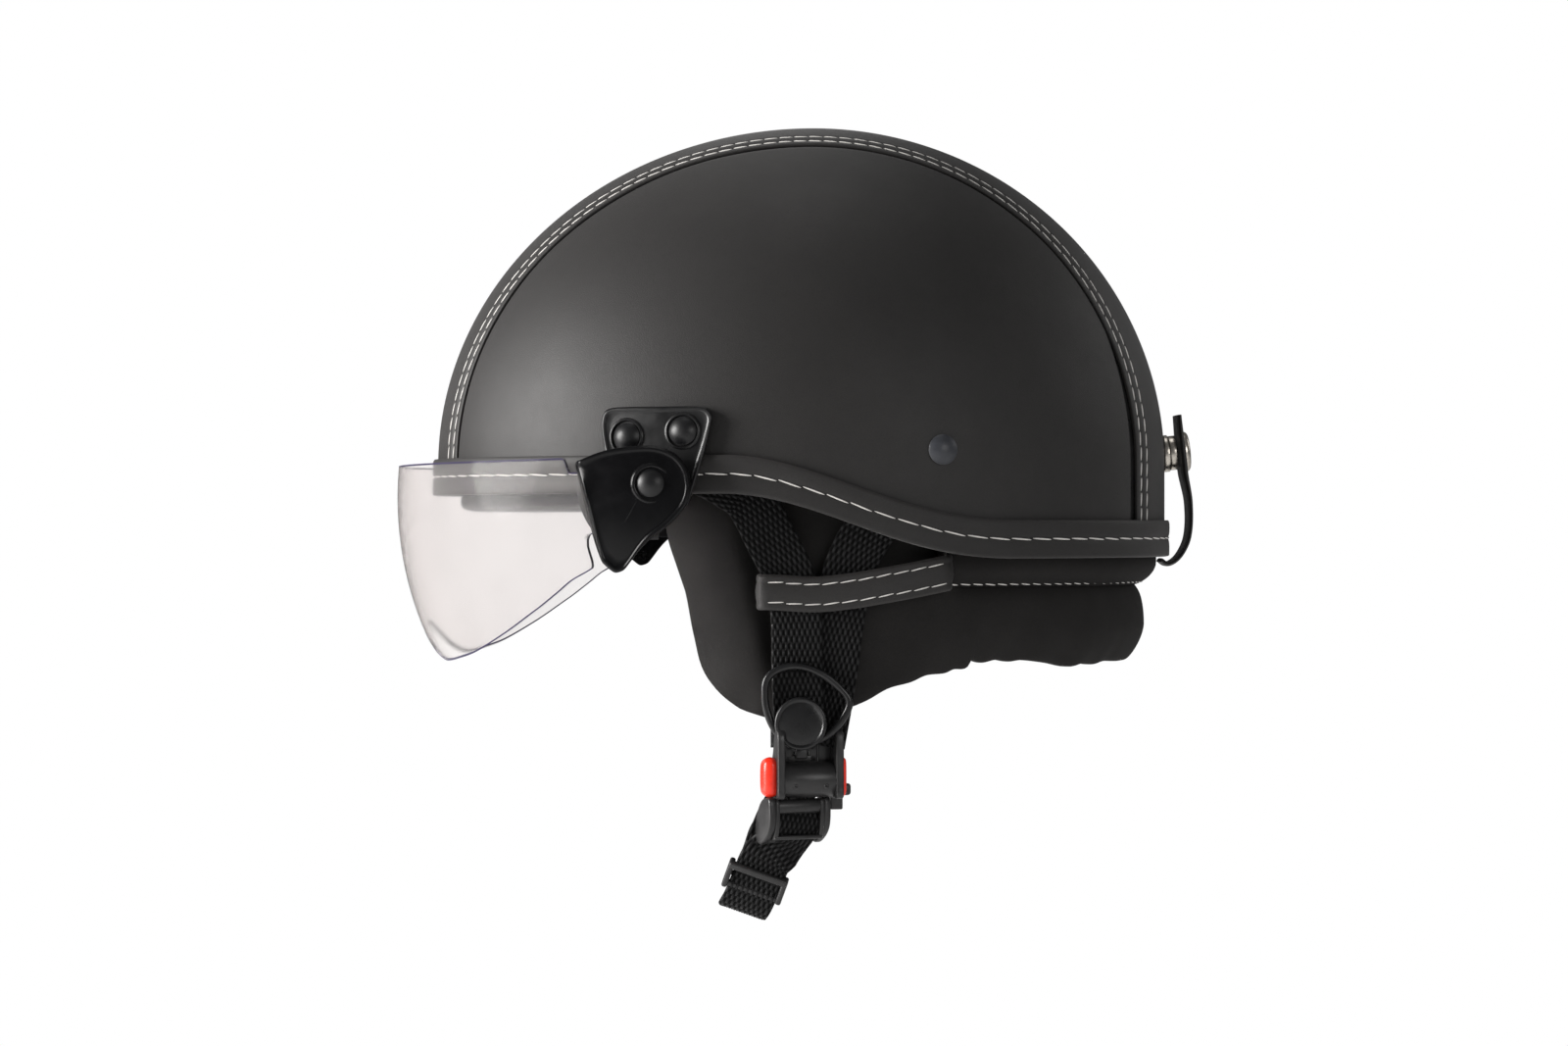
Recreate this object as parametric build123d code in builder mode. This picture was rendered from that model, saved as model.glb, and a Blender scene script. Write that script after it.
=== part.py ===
from build123d import *
import os
from math import cos, radians, sin, sqrt

# Open face motorcycle helmet, in millimetres.
# +X is the wearer's left, -Y the face, +Z the crown, and X=0 is the plane of symmetry.
# The origin is the middle of the head opening at the shell's equator. Pieces that come in
# pairs are built on the left (+X) and mirrored.

os.makedirs("parts", exist_ok=True)

# Shell: two half ellipsoids over the equator, an upright elliptic wall below it
FRONT_REACH = 153.0
REAR_REACH = 143.0
HALF_WIDTH = 120.0
CROWN_HEIGHT = 137.5
WALL_DROP = 45.0

# Layers from the outside in
STRIP_LEATHER = 2.0
COVER_LEATHER = 1.4
SHELL_WALL = 3.6
FOAM_THICKNESS = 24.0
LINING_THICKNESS = 7.0

# Lower edge of the shell, seen from the side
FRONT_RIM = -12.0
REAR_RIM = -36.5
RIM_FALL_START = -35.0
RIM_FALL_END = 75.0

# Leather band round the lower edge
TRIM_THICKNESS = 1.8
TRIM_HEIGHT = 14.5
TRIM_LIP_OVERLAP = 1.0
TRIM_CLEARANCE = 0.3

# Crown strip, front to rear
STRIP_HALF_WIDTH_FRONT = 45.0
STRIP_HALF_WIDTH_REAR = 60.0
STRIP_GROOVE = 0.4

# Comfort padding
CROWN_PAD_FLOOR = 34.0
HEADBAND_TOP = 32.0
BROW_PAD_INSET = 9.0
BROW_PAD_DEPTH = 8.8
BROW_PAD_END = -64.0

# Visor: a shell of an ellipsoid round a centre ahead of the wearer's eyes
VISOR_CENTRE_Y = -50.0
VISOR_CENTRE_Z = -13.0
VISOR_HALF_WIDTH = 124.0
VISOR_REACH = 119.0
VISOR_HALF_HEIGHT = 129.0
VISOR_THICKNESS = 2.0
VISOR_TOP = 0.3
VISOR_BOTTOM = -79.5
VISOR_EAR_RADIUS = 11.0

# Visor hinge
PIVOT_Y = -61.5
PIVOT_Z = -8.5
PIVOT_SHANK_RADIUS = 3.0
PIVOT_HEAD_RADIUS = 5.5
PIVOT_HEAD_HEIGHT = 2.2
PIVOT_CLEARANCE = 0.3
HINGE_FACE = 118.2
HINGE_BOSS_RADIUS = 8.0
WASHER_THICKNESS = 0.6
WASHER_RADIUS = 5.0
WASHER_GAP = 0.2
BACKING_THICKNESS = 1.5
BACKING_RADIUS = 28.5
BACKING_DROP = 25.0
COVER_PLATE_THICKNESS = 3.2
COVER_PLATE_END_RADIUS = 14.4
COVER_RECESS_RADIUS = 6.75
PIVOT_SEAT = 125.5
PIVOT_ROOT = 5.0

# Bracket riveted to the shell
BRACKET_RISE = 3.9
BRACKET_CORNER = 4.5
BRACKET_RIVETS = ((-71.5, 9.4), (-50.1, 11.3))

# Rivets through the shell
RIVET_ROUNDING = 0.9
RIVET_HEAD_RADIUS = 5.3
RIVET_HEAD_HEIGHT = 2.0
RIVET_SHANK_RADIUS = 2.2
RIVET_HOLE_CLEARANCE = 0.1
SHELL_WASHER_RADIUS = 6.5
SHELL_WASHER_THICKNESS = 1.0
WASHER_SEAT_GAP = 0.3
FOAM_POCKET_CLEARANCE = 1.0
ANCHOR_RIVET = (48.0, 4.5)
ANCHOR_HEAD_RADIUS = 5.75

# Webbing
WEBBING_WIDTH = 19.5
WEBBING_THICKNESS = 1.6
WEBBING_CLEARANCE = 0.4
ANCHOR_OVERLAP = 8.0
ANCHOR_GAP = 0.7
STRAP_END = -102.8
STRAP_CHANNEL_X = 99.0

# Padded ear flaps and neck curtain
SKIRT_HALF_WIDTH = 100.0
SKIRT_REAR_REACH = 133.0
SKIRT_THICKNESS = 13.5
CURTAIN_HALF_WIDTH = 104.0
CURTAIN_REAR_REACH = 138.0
CURTAIN_FLOOR = -46.5
FLAP_END = 50.0

# Strap keeper
KEEPER_HEIGHT = 13.0
KEEPER_LEATHER = 1.6

# Yoke and its round boss
YOKE_INNER_FACE = 106.3
YOKE_THICKNESS = 3.5
YOKE_BAR = 3.3
BADGE_Y = -5.7
BADGE_Z = -99.0
BADGE_RADIUS = 9.95
BADGE_THICKNESS = 2.2
BADGE_SHANK_RADIUS = 2.5
BADGE_FLANGE_RADIUS = 4.0
BADGE_FLANGE_THICKNESS = 0.9

# Buckle: housing under the left yoke, turned a little about the upright axis
BUCKLE_X = 104.5
BUCKLE_Y = -3.2
BUCKLE_YAW = 14.0
HOUSING_TOP = -104.2
HOUSING_BOTTOM = -128.0
HOUSING_WIDTH = 25.8
HOUSING_DEPTH = 13.4
CHEEK_THICKNESS = 3.8
BARREL_RADIUS = 6.4
BARREL_Z = -121.0
SLOT_WIDTH = 14.4
SLOT_DEPTH = 6.0
NECK_WIDTH = 13.0
NECK_THICKNESS = 1.6
NECK_TOP = -93.5
NECK_STEP = 1.8

# Release buttons
BUTTON_HEIGHT = 13.4
BUTTON_DEPTH = 8.6
BUTTON_STAND_OUT = 4.0
BUTTON_SEAT = 1.5
BUTTON_CLEARANCE = 0.25
BUTTON_TRAVEL = 1.5

# Tongue with its ladder lock
TONGUE_SHIFT = -1.5
TONGUE_FORWARD = 0.6
TONGUE_THICKNESS = 2.4
TONGUE_TIP = -109.5
PRONG_WIDTH = 4.0
PRONG_GAP = 3.4
LADDER_TOP = -128.6
LADDER_HEIGHT = 16.8
LADDER_WIDTH = 25.4
LADDER_DEPTH = 7.0
LADDER_BAR = 3.4
LADDER_SIDE = 2.6
LADDER_ROD_RADIUS = 1.6

# Slider on the chin strap
SLIDER_WIDTH = 24.0
SLIDER_HEIGHT = 10.5
SLIDER_DEPTH = 8.0
SLIDER_PLACE = 0.68

# Hanger for the chin strap under the right yoke
HANGER_BAR_Z = -118.0
HANGER_BAR_RADIUS = 2.0
HANGER_LUG = 2.6
LUG_CLEARANCE = 1.0

# Goggle strap tab at the rear
TAB_WIDTH = 22.0
TAB_THICKNESS = 3.0
TAB_ROOT_Y = 141.3
TAB_ROOT_Z = -38.3
TAB_FLAT = 9.0
TAB_REACH = 15.0
SNAP_Z = 5.0
SNAP_TILT = 6.0
STUD_RADIUS = 7.5
STUD_BASE = 2.0
STUD_NUB_RADIUS = 3.0
STUD_NUB = 2.2
SNAP_GAP = 0.3
SOCKET_DEPTH = 2.6
SOCKET_CLEARANCE = 0.8
CAP_RADIUS = 8.3
CAP_THICKNESS = 2.4
TAB_SEAT_GAP = 0.05

FAR = 400.0
COVER_INSET = STRIP_LEATHER - COVER_LEATHER
SHELL_INSET = STRIP_LEATHER
FOAM_INSET = SHELL_INSET + SHELL_WALL
LINING_INSET = FOAM_INSET + FOAM_THICKNESS
HEAD_INSET = LINING_INSET + LINING_THICKNESS


def quarter_dome(half_width, reach, height, keep):
    """The upper front or upper rear quarter of an ellipsoid round the origin."""
    with BuildPart() as quarter:
        Sphere(1)
        split(bisect_by=Plane.XY, keep=Keep.TOP)
        split(bisect_by=Plane.XZ, keep=keep)
        scale(by=(half_width, reach, height))
    return quarter.part


def dome(inset):
    """The solid inside a surface that lies inset below the outside of the leather."""
    half_width = HALF_WIDTH - inset
    reaches = ((FRONT_REACH - inset, -1, Keep.TOP), (REAR_REACH - inset, 1, Keep.BOTTOM))
    with BuildPart() as form:
        for reach, side, keep in reaches:
            add(quarter_dome(half_width, reach, CROWN_HEIGHT - inset, keep))
            with BuildSketch(Plane.XY.offset(-WALL_DROP)):
                Ellipse(half_width, reach)
                with Locations((0, side * FAR / 2)):
                    Rectangle(FAR, FAR, mode=Mode.INTERSECT)
            extrude(amount=WALL_DROP)
    return form.part


def above_rim(rise):
    """Everything above the shell's lower edge, raised by rise."""
    with BuildPart() as block:
        with BuildSketch(Plane.YZ):
            with BuildLine():
                front = Line((-FAR, FRONT_RIM + rise), (RIM_FALL_START, FRONT_RIM + rise))
                knee = (0, FRONT_RIM + rise)
                fall = Bezier(front @ 1, knee, (30, REAR_RIM + rise), (RIM_FALL_END, REAR_RIM + rise))
                rear = Line(fall @ 1, (FAR, REAR_RIM + rise))
                Polyline(rear @ 1, (FAR, FAR), (-FAR, FAR), front @ 0)
            make_face()
        extrude(amount=FAR, both=True)
    return block.part


def side_block(start, end):
    """Everything between two planes across the X axis."""
    with BuildPart() as block:
        with BuildSketch(Plane.YZ.offset(start)):
            Rectangle(2 * FAR, 2 * FAR)
        extrude(amount=end - start)
    return block.part


def level_block(low, high):
    """Everything between two heights."""
    with BuildPart() as block:
        with BuildSketch(Plane.XY.offset(low)):
            Rectangle(2 * FAR, 2 * FAR)
        extrude(amount=high - low)
    return block.part


def layer(outer, inner, rise):
    """One skin of the helmet between two insets, down to the lower edge raised by rise."""
    with BuildPart() as skin:
        add(dome(outer))
        add(dome(inner), mode=Mode.SUBTRACT)
        add(above_rim(rise), mode=Mode.INTERSECT)
    return skin.part


def skin_plane(y, z, inset):
    """The plane that lies on the left side of a skin, its normal pointing out."""
    wide = HALF_WIDTH - inset
    long = (FRONT_REACH if y < 0 else REAR_REACH) - inset
    high = CROWN_HEIGHT - inset
    lift = max(z, 0)
    x = wide * sqrt(1 - (y / long) ** 2 - (lift / high) ** 2)
    normal = Vector(x / wide**2, y / long**2, lift / high**2)
    return Plane(origin=(x, y, z), x_dir=(0, 0, 1), z_dir=normal)


def strip_block(widening):
    """A block over the crown from brow to nape, as wide as the strip plus widening."""
    front = STRIP_HALF_WIDTH_FRONT + widening
    rear = STRIP_HALF_WIDTH_REAR + widening
    with BuildPart() as block:
        with BuildSketch(Plane.XY):
            with BuildLine():
                edge = Bezier((front, -FRONT_REACH - 20), (front, 20), (front, 60), (rear, REAR_REACH + 20))
                back = Line(edge @ 1, (-rear, REAR_REACH + 20))
                other = Bezier(back @ 1, (-front, 60), (-front, 20), (-front, -FRONT_REACH - 20))
                Line(other @ 1, edge @ 0)
            make_face()
        extrude(amount=FAR, both=True)
    return block.part


def ribbon(points, width, thickness, across, count):
    """Webbing or leather lofted along a spline, with its crosswise direction at each point."""
    points = [Vector(*point) for point in points]
    with BuildLine(mode=Mode.PRIVATE) as route:
        Spline(*points)
    path = route.line
    gaps = [(second - first).length for first, second in zip(points, points[1:])]
    with BuildPart() as band:
        for i in range(count + 1):
            share = i / count
            leg, past = 0, share * sum(gaps)
            while leg < len(gaps) - 1 and past > gaps[leg]:
                past -= gaps[leg]
                leg += 1
            turn = min(past / gaps[leg], 1)
            hint = Vector(*across[leg]) * (1 - turn) + Vector(*across[leg + 1]) * turn
            tangent = path % share
            sideways = (hint - tangent * hint.dot(tangent)).normalized()
            with BuildSketch(Plane(origin=path @ share, x_dir=sideways, z_dir=tangent)):
                Rectangle(width, thickness)
        loft(ruled=True)
    return band.part


def bore(plane, radius, down, up):
    """A round bar along a plane's normal, for holes and shanks."""
    with BuildPart() as bar:
        with BuildSketch(plane.offset(-down)):
            Circle(radius)
        extrude(amount=down + up)
    return bar.part


def save(name, part):
    part.label = name
    export_step(part, f"parts/{name}.step")


def save_pair(name, part):
    """The left piece and its mirror image on the right."""
    save(f"{name}_left", part)
    save(f"{name}_right", mirror(part, about=Plane.YZ))


def dome_rivet(plane, head_radius, head_height, shank_radius, length):
    """A rivet whose rounded head sits on the plane, its shank running inwards."""
    with BuildPart() as body:
        with BuildSketch(plane):
            Circle(shank_radius)
        extrude(amount=-length)
        with BuildSketch(plane):
            Circle(head_radius)
        extrude(amount=head_height)
        rims = body.edges().filter_by(GeomType.CIRCLE)
        fillet(rims.sort_by(Axis(plane.origin, plane.z_dir))[-1], RIVET_ROUNDING * head_height)
    return body.part


def both_sides(part):
    """A piece and its mirror image as one group of solids."""
    with BuildPart() as pair:
        add(part)
        mirror(about=Plane.YZ)
    return pair.part


# ---- Rivets, washers and the holes they need ----
shell_depth = FOAM_INSET - COVER_INSET
bracket_depth = FOAM_INSET + BRACKET_RISE
strap_depth = WEBBING_THICKNESS + 2 * ANCHOR_GAP
anchor_plane = skin_plane(*ANCHOR_RIVET, COVER_INSET)
front_bracket_plane, rear_bracket_plane = (skin_plane(y, z, -BRACKET_RISE) for y, z in BRACKET_RIVETS)
washer_seats = (
    (front_bracket_plane, bracket_depth + WASHER_SEAT_GAP),
    (rear_bracket_plane, bracket_depth + strap_depth),
    (anchor_plane, shell_depth + strap_depth),
)

with BuildPart() as shank_holes:
    for plane, depth in washer_seats:
        add(bore(plane, RIVET_SHANK_RADIUS + RIVET_HOLE_CLEARANCE, depth + FOAM_THICKNESS / 2, 5))
    mirror(about=Plane.YZ)

with BuildPart() as foam_pockets:
    for plane, depth in washer_seats:
        reach = depth + SHELL_WASHER_THICKNESS + FOAM_POCKET_CLEARANCE
        add(bore(plane, SHELL_WASHER_RADIUS + FOAM_POCKET_CLEARANCE, reach, 0))
    mirror(about=Plane.YZ)

with BuildPart() as bracket_rivets:
    for plane, depth in washer_seats[:2]:
        length = depth + SHELL_WASHER_THICKNESS
        add(dome_rivet(plane, RIVET_HEAD_RADIUS, RIVET_HEAD_HEIGHT, RIVET_SHANK_RADIUS, length))
    mirror(about=Plane.YZ)
save("bracket_rivets", bracket_rivets.part)

anchor_length = shell_depth + strap_depth + SHELL_WASHER_THICKNESS
anchor_rivet = dome_rivet(
    anchor_plane, ANCHOR_HEAD_RADIUS, RIVET_HEAD_HEIGHT, RIVET_SHANK_RADIUS, anchor_length
)
save("strap_anchor_rivets", both_sides(anchor_rivet))

with BuildPart() as rivet_washers:
    for plane, depth in washer_seats:
        with BuildSketch(plane.offset(-depth)):
            Circle(SHELL_WASHER_RADIUS)
            Circle(RIVET_SHANK_RADIUS + RIVET_HOLE_CLEARANCE, mode=Mode.SUBTRACT)
        extrude(amount=-SHELL_WASHER_THICKNESS)
    mirror(about=Plane.YZ)
save("rivet_washers", rivet_washers.part)

# ---- Shell, leather and foam ----
with BuildPart() as crown_strip:
    add(layer(0, STRIP_LEATHER, TRIM_THICKNESS))
    add(strip_block(0), mode=Mode.INTERSECT)
save("crown_strip", crown_strip.part)

with BuildPart() as side_cover:
    add(layer(COVER_INSET, STRIP_LEATHER, TRIM_THICKNESS))
    add(strip_block(STRIP_GROOVE), mode=Mode.SUBTRACT)
    add(side_block(0, FAR), mode=Mode.INTERSECT)
    add(shank_holes.part, mode=Mode.SUBTRACT)
save_pair("side_cover", side_cover.part)

with BuildPart() as outer_shell:
    add(layer(SHELL_INSET, FOAM_INSET, TRIM_THICKNESS))
    add(shank_holes.part, mode=Mode.SUBTRACT)
save("outer_shell", outer_shell.part)

trim_lip_inset = FOAM_INSET + TRIM_LIP_OVERLAP
with BuildPart() as trim_lip:
    add(layer(-TRIM_THICKNESS, trim_lip_inset, 0))
    add(above_rim(TRIM_THICKNESS), mode=Mode.SUBTRACT)

with BuildPart() as rim_trim:
    add(layer(-TRIM_THICKNESS, 0, 0))
    add(above_rim(TRIM_HEIGHT), mode=Mode.SUBTRACT)
    add(trim_lip.part)
save("rim_trim", rim_trim.part)

# ---- Straps: their routes are chosen by hand along the shell and down past the ear flap ----
strap_seat = ANCHOR_GAP + WEBBING_THICKNESS / 2


def anchored(plane, depth, rise):
    """The first points of a strap that lies flat against its rivet, and its crosswise direction."""
    seat = plane.offset(-depth - strap_seat).origin
    along = (rise - plane.z_dir * rise.dot(plane.z_dir)).normalized()
    start = [seat + along * ANCHOR_OVERLAP, seat, seat - along * ANCHOR_OVERLAP]
    return start, along.cross(plane.z_dir)


front_start, front_across = anchored(rear_bracket_plane, bracket_depth, Vector(0, -0.74, 0.67))
rear_start, rear_across = anchored(anchor_plane, shell_depth, Vector(0, 0.69, 0.72))
front_strap_x = YOKE_INNER_FACE - WEBBING_THICKNESS / 2
rear_strap_x = front_strap_x - WEBBING_THICKNESS - WEBBING_CLEARANCE / 2
front_route = front_start + [
    (front_strap_x + 0.3, -25.4, -13.9), (front_strap_x, -17.2, -29), (front_strap_x, -10.3, -43),
    (front_strap_x, -7.5, -57), (front_strap_x, -7, -80), (front_strap_x, -6, STRAP_END),
]
rear_route = rear_start + [
    (rear_strap_x + 0.8, 21, -25), (rear_strap_x, 13, -40), (rear_strap_x, 9.2, -58),
    (rear_strap_x, 6.2, -80), (rear_strap_x, 0.5, STRAP_END),
]
front_turns = [front_across] * 3 + [(0, 1, 0)] * (len(front_route) - 3)
front_band = ribbon(front_route, WEBBING_WIDTH, WEBBING_THICKNESS, front_turns, 30)
rear_turns = [rear_across] * 3 + [(0, 1, 0)] * (len(rear_route) - 3)
rear_band = ribbon(rear_route, WEBBING_WIDTH, WEBBING_THICKNESS, rear_turns, 30)

badge_plane = Plane(
    origin=(YOKE_INNER_FACE + YOKE_THICKNESS, BADGE_Y, BADGE_Z), x_dir=(0, 1, 0), z_dir=(1, 0, 0)
)
badge_hole = bore(badge_plane, BADGE_SHANK_RADIUS + RIVET_HOLE_CLEARANCE, 15, 5)

for name, band in (("front_strap", front_band), ("rear_strap", rear_band)):
    with BuildPart() as strap:
        add(band)
        add(shank_holes.part, mode=Mode.SUBTRACT)
        add(badge_hole, mode=Mode.SUBTRACT)
    save_pair(name, strap.part)

with BuildPart() as strap_channels:
    for route in (front_route, rear_route):
        with BuildSketch(Plane.YZ.offset(STRAP_CHANNEL_X)):
            with BuildLine():
                Spline(*[(Vector(*point).Y, Vector(*point).Z) for point in route[:5]])
            trace(line_width=WEBBING_WIDTH + 4 * WEBBING_CLEARANCE)
            with Locations((route[0].Y, route[0].Z)):
                Circle(WEBBING_WIDTH / 2 + 2 * WEBBING_CLEARANCE)
        extrude(amount=HALF_WIDTH - STRAP_CHANNEL_X)
    mirror(about=Plane.YZ)

with BuildPart() as foam_liner:
    add(layer(FOAM_INSET, LINING_INSET, TRIM_THICKNESS))
    add(foam_pockets.part, mode=Mode.SUBTRACT)
    add(strap_channels.part, mode=Mode.SUBTRACT)
save("foam_liner", foam_liner.part)

# ---- Comfort padding ----
with BuildPart() as crown_pad:
    add(layer(LINING_INSET, HEAD_INSET, TRIM_THICKNESS))
    add(level_block(CROWN_PAD_FLOOR, FAR), mode=Mode.INTERSECT)
save("crown_pad", crown_pad.part)

with BuildPart() as headband:
    add(layer(LINING_INSET, HEAD_INSET, TRIM_THICKNESS))
    add(level_block(HEADBAND_TOP, FAR), mode=Mode.SUBTRACT)
save("headband", headband.part)

brow_top = FRONT_RIM + TRIM_THICKNESS
with BuildPart() as brow_pad:
    add(dome(BROW_PAD_INSET))
    add(dome(HEAD_INSET), mode=Mode.SUBTRACT)
    add(level_block(brow_top - BROW_PAD_DEPTH, brow_top), mode=Mode.INTERSECT)
    with BuildSketch(Plane.XY.offset(-WALL_DROP)):
        with Locations((0, BROW_PAD_END + FAR / 2)):
            Rectangle(FAR, FAR)
    extrude(amount=FAR, mode=Mode.SUBTRACT)
save("brow_pad", brow_pad.part)

# ---- Padded ear flaps, neck curtain and neck roll ----
def padded_ring(half_width, reach, low, high):
    """An upright elliptic wall of padding between two heights."""
    with BuildPart() as ring:
        with BuildSketch(Plane.XY.offset(low)):
            Ellipse(half_width, reach)
            Ellipse(half_width - SKIRT_THICKNESS, reach - SKIRT_THICKNESS, mode=Mode.SUBTRACT)
        extrude(amount=high - low)
    return ring.part


def rear_block(start):
    """Everything behind a plane across the Y axis."""
    with BuildPart() as block:
        with BuildSketch(Plane.XY.offset(-FAR)):
            with Locations((0, start + FAR)):
                Rectangle(2 * FAR, 2 * FAR)
        extrude(amount=2 * FAR)
    return block.part


with BuildPart() as ear_flap:
    with BuildSketch(Plane.YZ):
        with BuildLine():
            front = Spline((-61.5, -5), (-61, -28), (-53, -48), (-49, -67), (-44, -82), (-31, -94), (-19, -98))
            low = Spline(front @ 1, (-2, -98.5), (13, -96), (25, -87), (38, -82), (FLAP_END, -78))
            Polyline(low @ 1, (FLAP_END, -5), front @ 0)
        make_face()
    extrude(amount=HALF_WIDTH)
    add(padded_ring(SKIRT_HALF_WIDTH, SKIRT_REAR_REACH, -HALF_WIDTH, 0), mode=Mode.INTERSECT)
    add(above_rim(TRIM_THICKNESS), mode=Mode.SUBTRACT)
save_pair("ear_flap", ear_flap.part)

with BuildPart() as neck_curtain:
    add(padded_ring(CURTAIN_HALF_WIDTH, CURTAIN_REAR_REACH, CURTAIN_FLOOR, 0))
    add(rear_block(FLAP_END), mode=Mode.INTERSECT)
    add(above_rim(0), mode=Mode.SUBTRACT)
save("neck_curtain", neck_curtain.part)

with BuildPart() as neck_roll:
    with BuildSketch(Plane.YZ):
        with BuildLine():
            hem = Spline((FLAP_END, -78), (60, -75), (82, -74), (104, -78), (122, -77), (REAR_REACH, -70))
            Polyline(hem @ 1, (REAR_REACH, CURTAIN_FLOOR), (FLAP_END, CURTAIN_FLOOR), hem @ 0)
        make_face()
    extrude(amount=HALF_WIDTH, both=True)
    add(padded_ring(SKIRT_HALF_WIDTH, SKIRT_REAR_REACH, -HALF_WIDTH, 0), mode=Mode.INTERSECT)
save("neck_roll", neck_roll.part)

# ---- Strap keeper: round the straps' front edge, across both and back along the flap ----
keeper_route = [
    (101.4, -8, -49.6), (101.5, -17, -49.5), (102.4, -20.6, -49.5), (104.9, -21.8, -49.4),
    (107.4, -20.6, -49.4), (108.2, -17, -49.4), (108.2, 0, -50.2),
    (107.9, 13, -49), (105, 26, -46.5), (100, 38, -44), (95, 48.5, -41.8),
]
keeper_turns = [(0, 0, 1)] * len(keeper_route)
save_pair("strap_keeper", ribbon(keeper_route, KEEPER_HEIGHT, KEEPER_LEATHER, keeper_turns, 80))

# ---- Yoke that joins the two straps, and the round boss riveted through it ----
with BuildPart() as yoke:
    with BuildSketch(Plane.YZ.offset(YOKE_INNER_FACE)) as yoke_face:
        with BuildLine():
            Polyline((-20.5, -79.5), (-9, -76.8), (8, -80.5), (15.8, -90), (4, -107), (-14.5, -107), close=True)
        make_face()
        fillet(yoke_face.vertices(), 4)
        offset(amount=-YOKE_BAR, mode=Mode.SUBTRACT)
    extrude(amount=YOKE_THICKNESS)
save_pair("yoke", yoke.part)

stack_depth = YOKE_THICKNESS + YOKE_INNER_FACE - rear_strap_x + WEBBING_THICKNESS / 2 + NECK_THICKNESS
with BuildPart() as yoke_badge:
    with BuildSketch(badge_plane):
        Circle(BADGE_RADIUS)
    extrude(amount=BADGE_THICKNESS)
    chamfer(yoke_badge.edges().filter_by(GeomType.CIRCLE).sort_by(Axis.X)[-1], BADGE_THICKNESS / 4)
    with BuildSketch(badge_plane):
        Circle(BADGE_SHANK_RADIUS)
    extrude(amount=-stack_depth)
    with BuildSketch(badge_plane.offset(-stack_depth)):
        Circle(BADGE_FLANGE_RADIUS)
    extrude(amount=-BADGE_FLANGE_THICKNESS)
save_pair("yoke_badge", yoke_badge.part)

# ---- Buckle housing ----
neck_face = rear_strap_x - WEBBING_THICKNESS / 2
buckle_out = Vector(cos(radians(BUCKLE_YAW)), sin(radians(BUCKLE_YAW)), 0)
buckle_along = Vector(-buckle_out.Y, buckle_out.X, 0)
buckle_centre = Vector(BUCKLE_X, BUCKLE_Y, 0)
buckle_front = Plane(origin=buckle_centre, x_dir=buckle_along, z_dir=buckle_out)
buckle_side = Plane(origin=buckle_centre, x_dir=buckle_out * -1, z_dir=buckle_along)
half_housing = HOUSING_WIDTH / 2
button_floor = half_housing - BUTTON_SEAT - BUTTON_TRAVEL - BUTTON_CLEARANCE
button_z = HOUSING_BOTTOM + HOUSING_DEPTH * 0.64


def neck_plate(low, run):
    """The upright plate clamped behind the straps, stepped back below them."""
    with BuildPart() as plate:
        with BuildSketch(Plane.XZ.offset(-BADGE_Y - NECK_WIDTH / 2)):
            with BuildLine():
                Polyline(
                    (neck_face, NECK_TOP), (neck_face, STRAP_END - 1), (neck_face - run, STRAP_END - 5),
                    (neck_face - run, low), (neck_face - run - NECK_THICKNESS, low),
                    (neck_face - run - NECK_THICKNESS, STRAP_END - 4.5),
                    (neck_face - NECK_THICKNESS, STRAP_END - 0.5), (neck_face - NECK_THICKNESS, NECK_TOP),
                    close=True,
                )
            make_face()
        extrude(amount=NECK_WIDTH)
        add(badge_hole, mode=Mode.SUBTRACT)
    return plate.part


def button_block(spread, start, end):
    """The rounded bar of one release button along the buckle's width."""
    with BuildPart() as bar:
        with BuildSketch(buckle_side.offset(start)):
            with Locations((0, button_z)):
                RectangleRounded(BUTTON_DEPTH + 2 * spread, BUTTON_HEIGHT + 2 * spread, 3)
        extrude(amount=end - start)
    return bar.part


with BuildPart() as buckle_housing:
    for start in (-half_housing, half_housing - CHEEK_THICKNESS):
        with BuildSketch(buckle_side.offset(start)):
            depth = HOUSING_DEPTH / 2
            with BuildLine():
                Polyline(
                    (depth, HOUSING_BOTTOM), (-depth, HOUSING_BOTTOM), (-depth, HOUSING_TOP - 11.3),
                    (2, HOUSING_TOP - 4.5), (2, HOUSING_TOP), (depth, HOUSING_TOP), close=True,
                )
            make_face()
        extrude(amount=CHEEK_THICKNESS)
    with BuildSketch(buckle_side.offset(-half_housing)):
        with Locations((0, BARREL_Z)):
            Circle(BARREL_RADIUS)
    extrude(amount=HOUSING_WIDTH)
    add(neck_plate(BARREL_Z + BARREL_RADIUS / 2, NECK_STEP))
    with BuildSketch(buckle_front.offset(TONGUE_FORWARD - SLOT_DEPTH / 2)):
        with Locations((TONGUE_SHIFT, HOUSING_BOTTOM)):
            Rectangle(SLOT_WIDTH, 2 * (HOUSING_TOP - HOUSING_BOTTOM))
    extrude(amount=SLOT_DEPTH, mode=Mode.SUBTRACT)
    for start, end in ((button_floor, FAR), (-FAR, -button_floor)):
        add(button_block(BUTTON_CLEARANCE, start, end), mode=Mode.SUBTRACT)
save("buckle_housing", buckle_housing.part)

for name, side in (("front", -1), ("rear", 1)):
    inner = side * (half_housing - BUTTON_SEAT)
    outer = side * (half_housing + BUTTON_STAND_OUT)
    with BuildPart() as release_button:
        add(button_block(0, min(inner, outer), max(inner, outer)))
        outer_face = release_button.faces().sort_by(Axis(buckle_centre, buckle_along * side))[-1]
        fillet(outer_face.edges(), BUTTON_STAND_OUT / 2)
    save(f"release_button_{name}", release_button.part)

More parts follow.
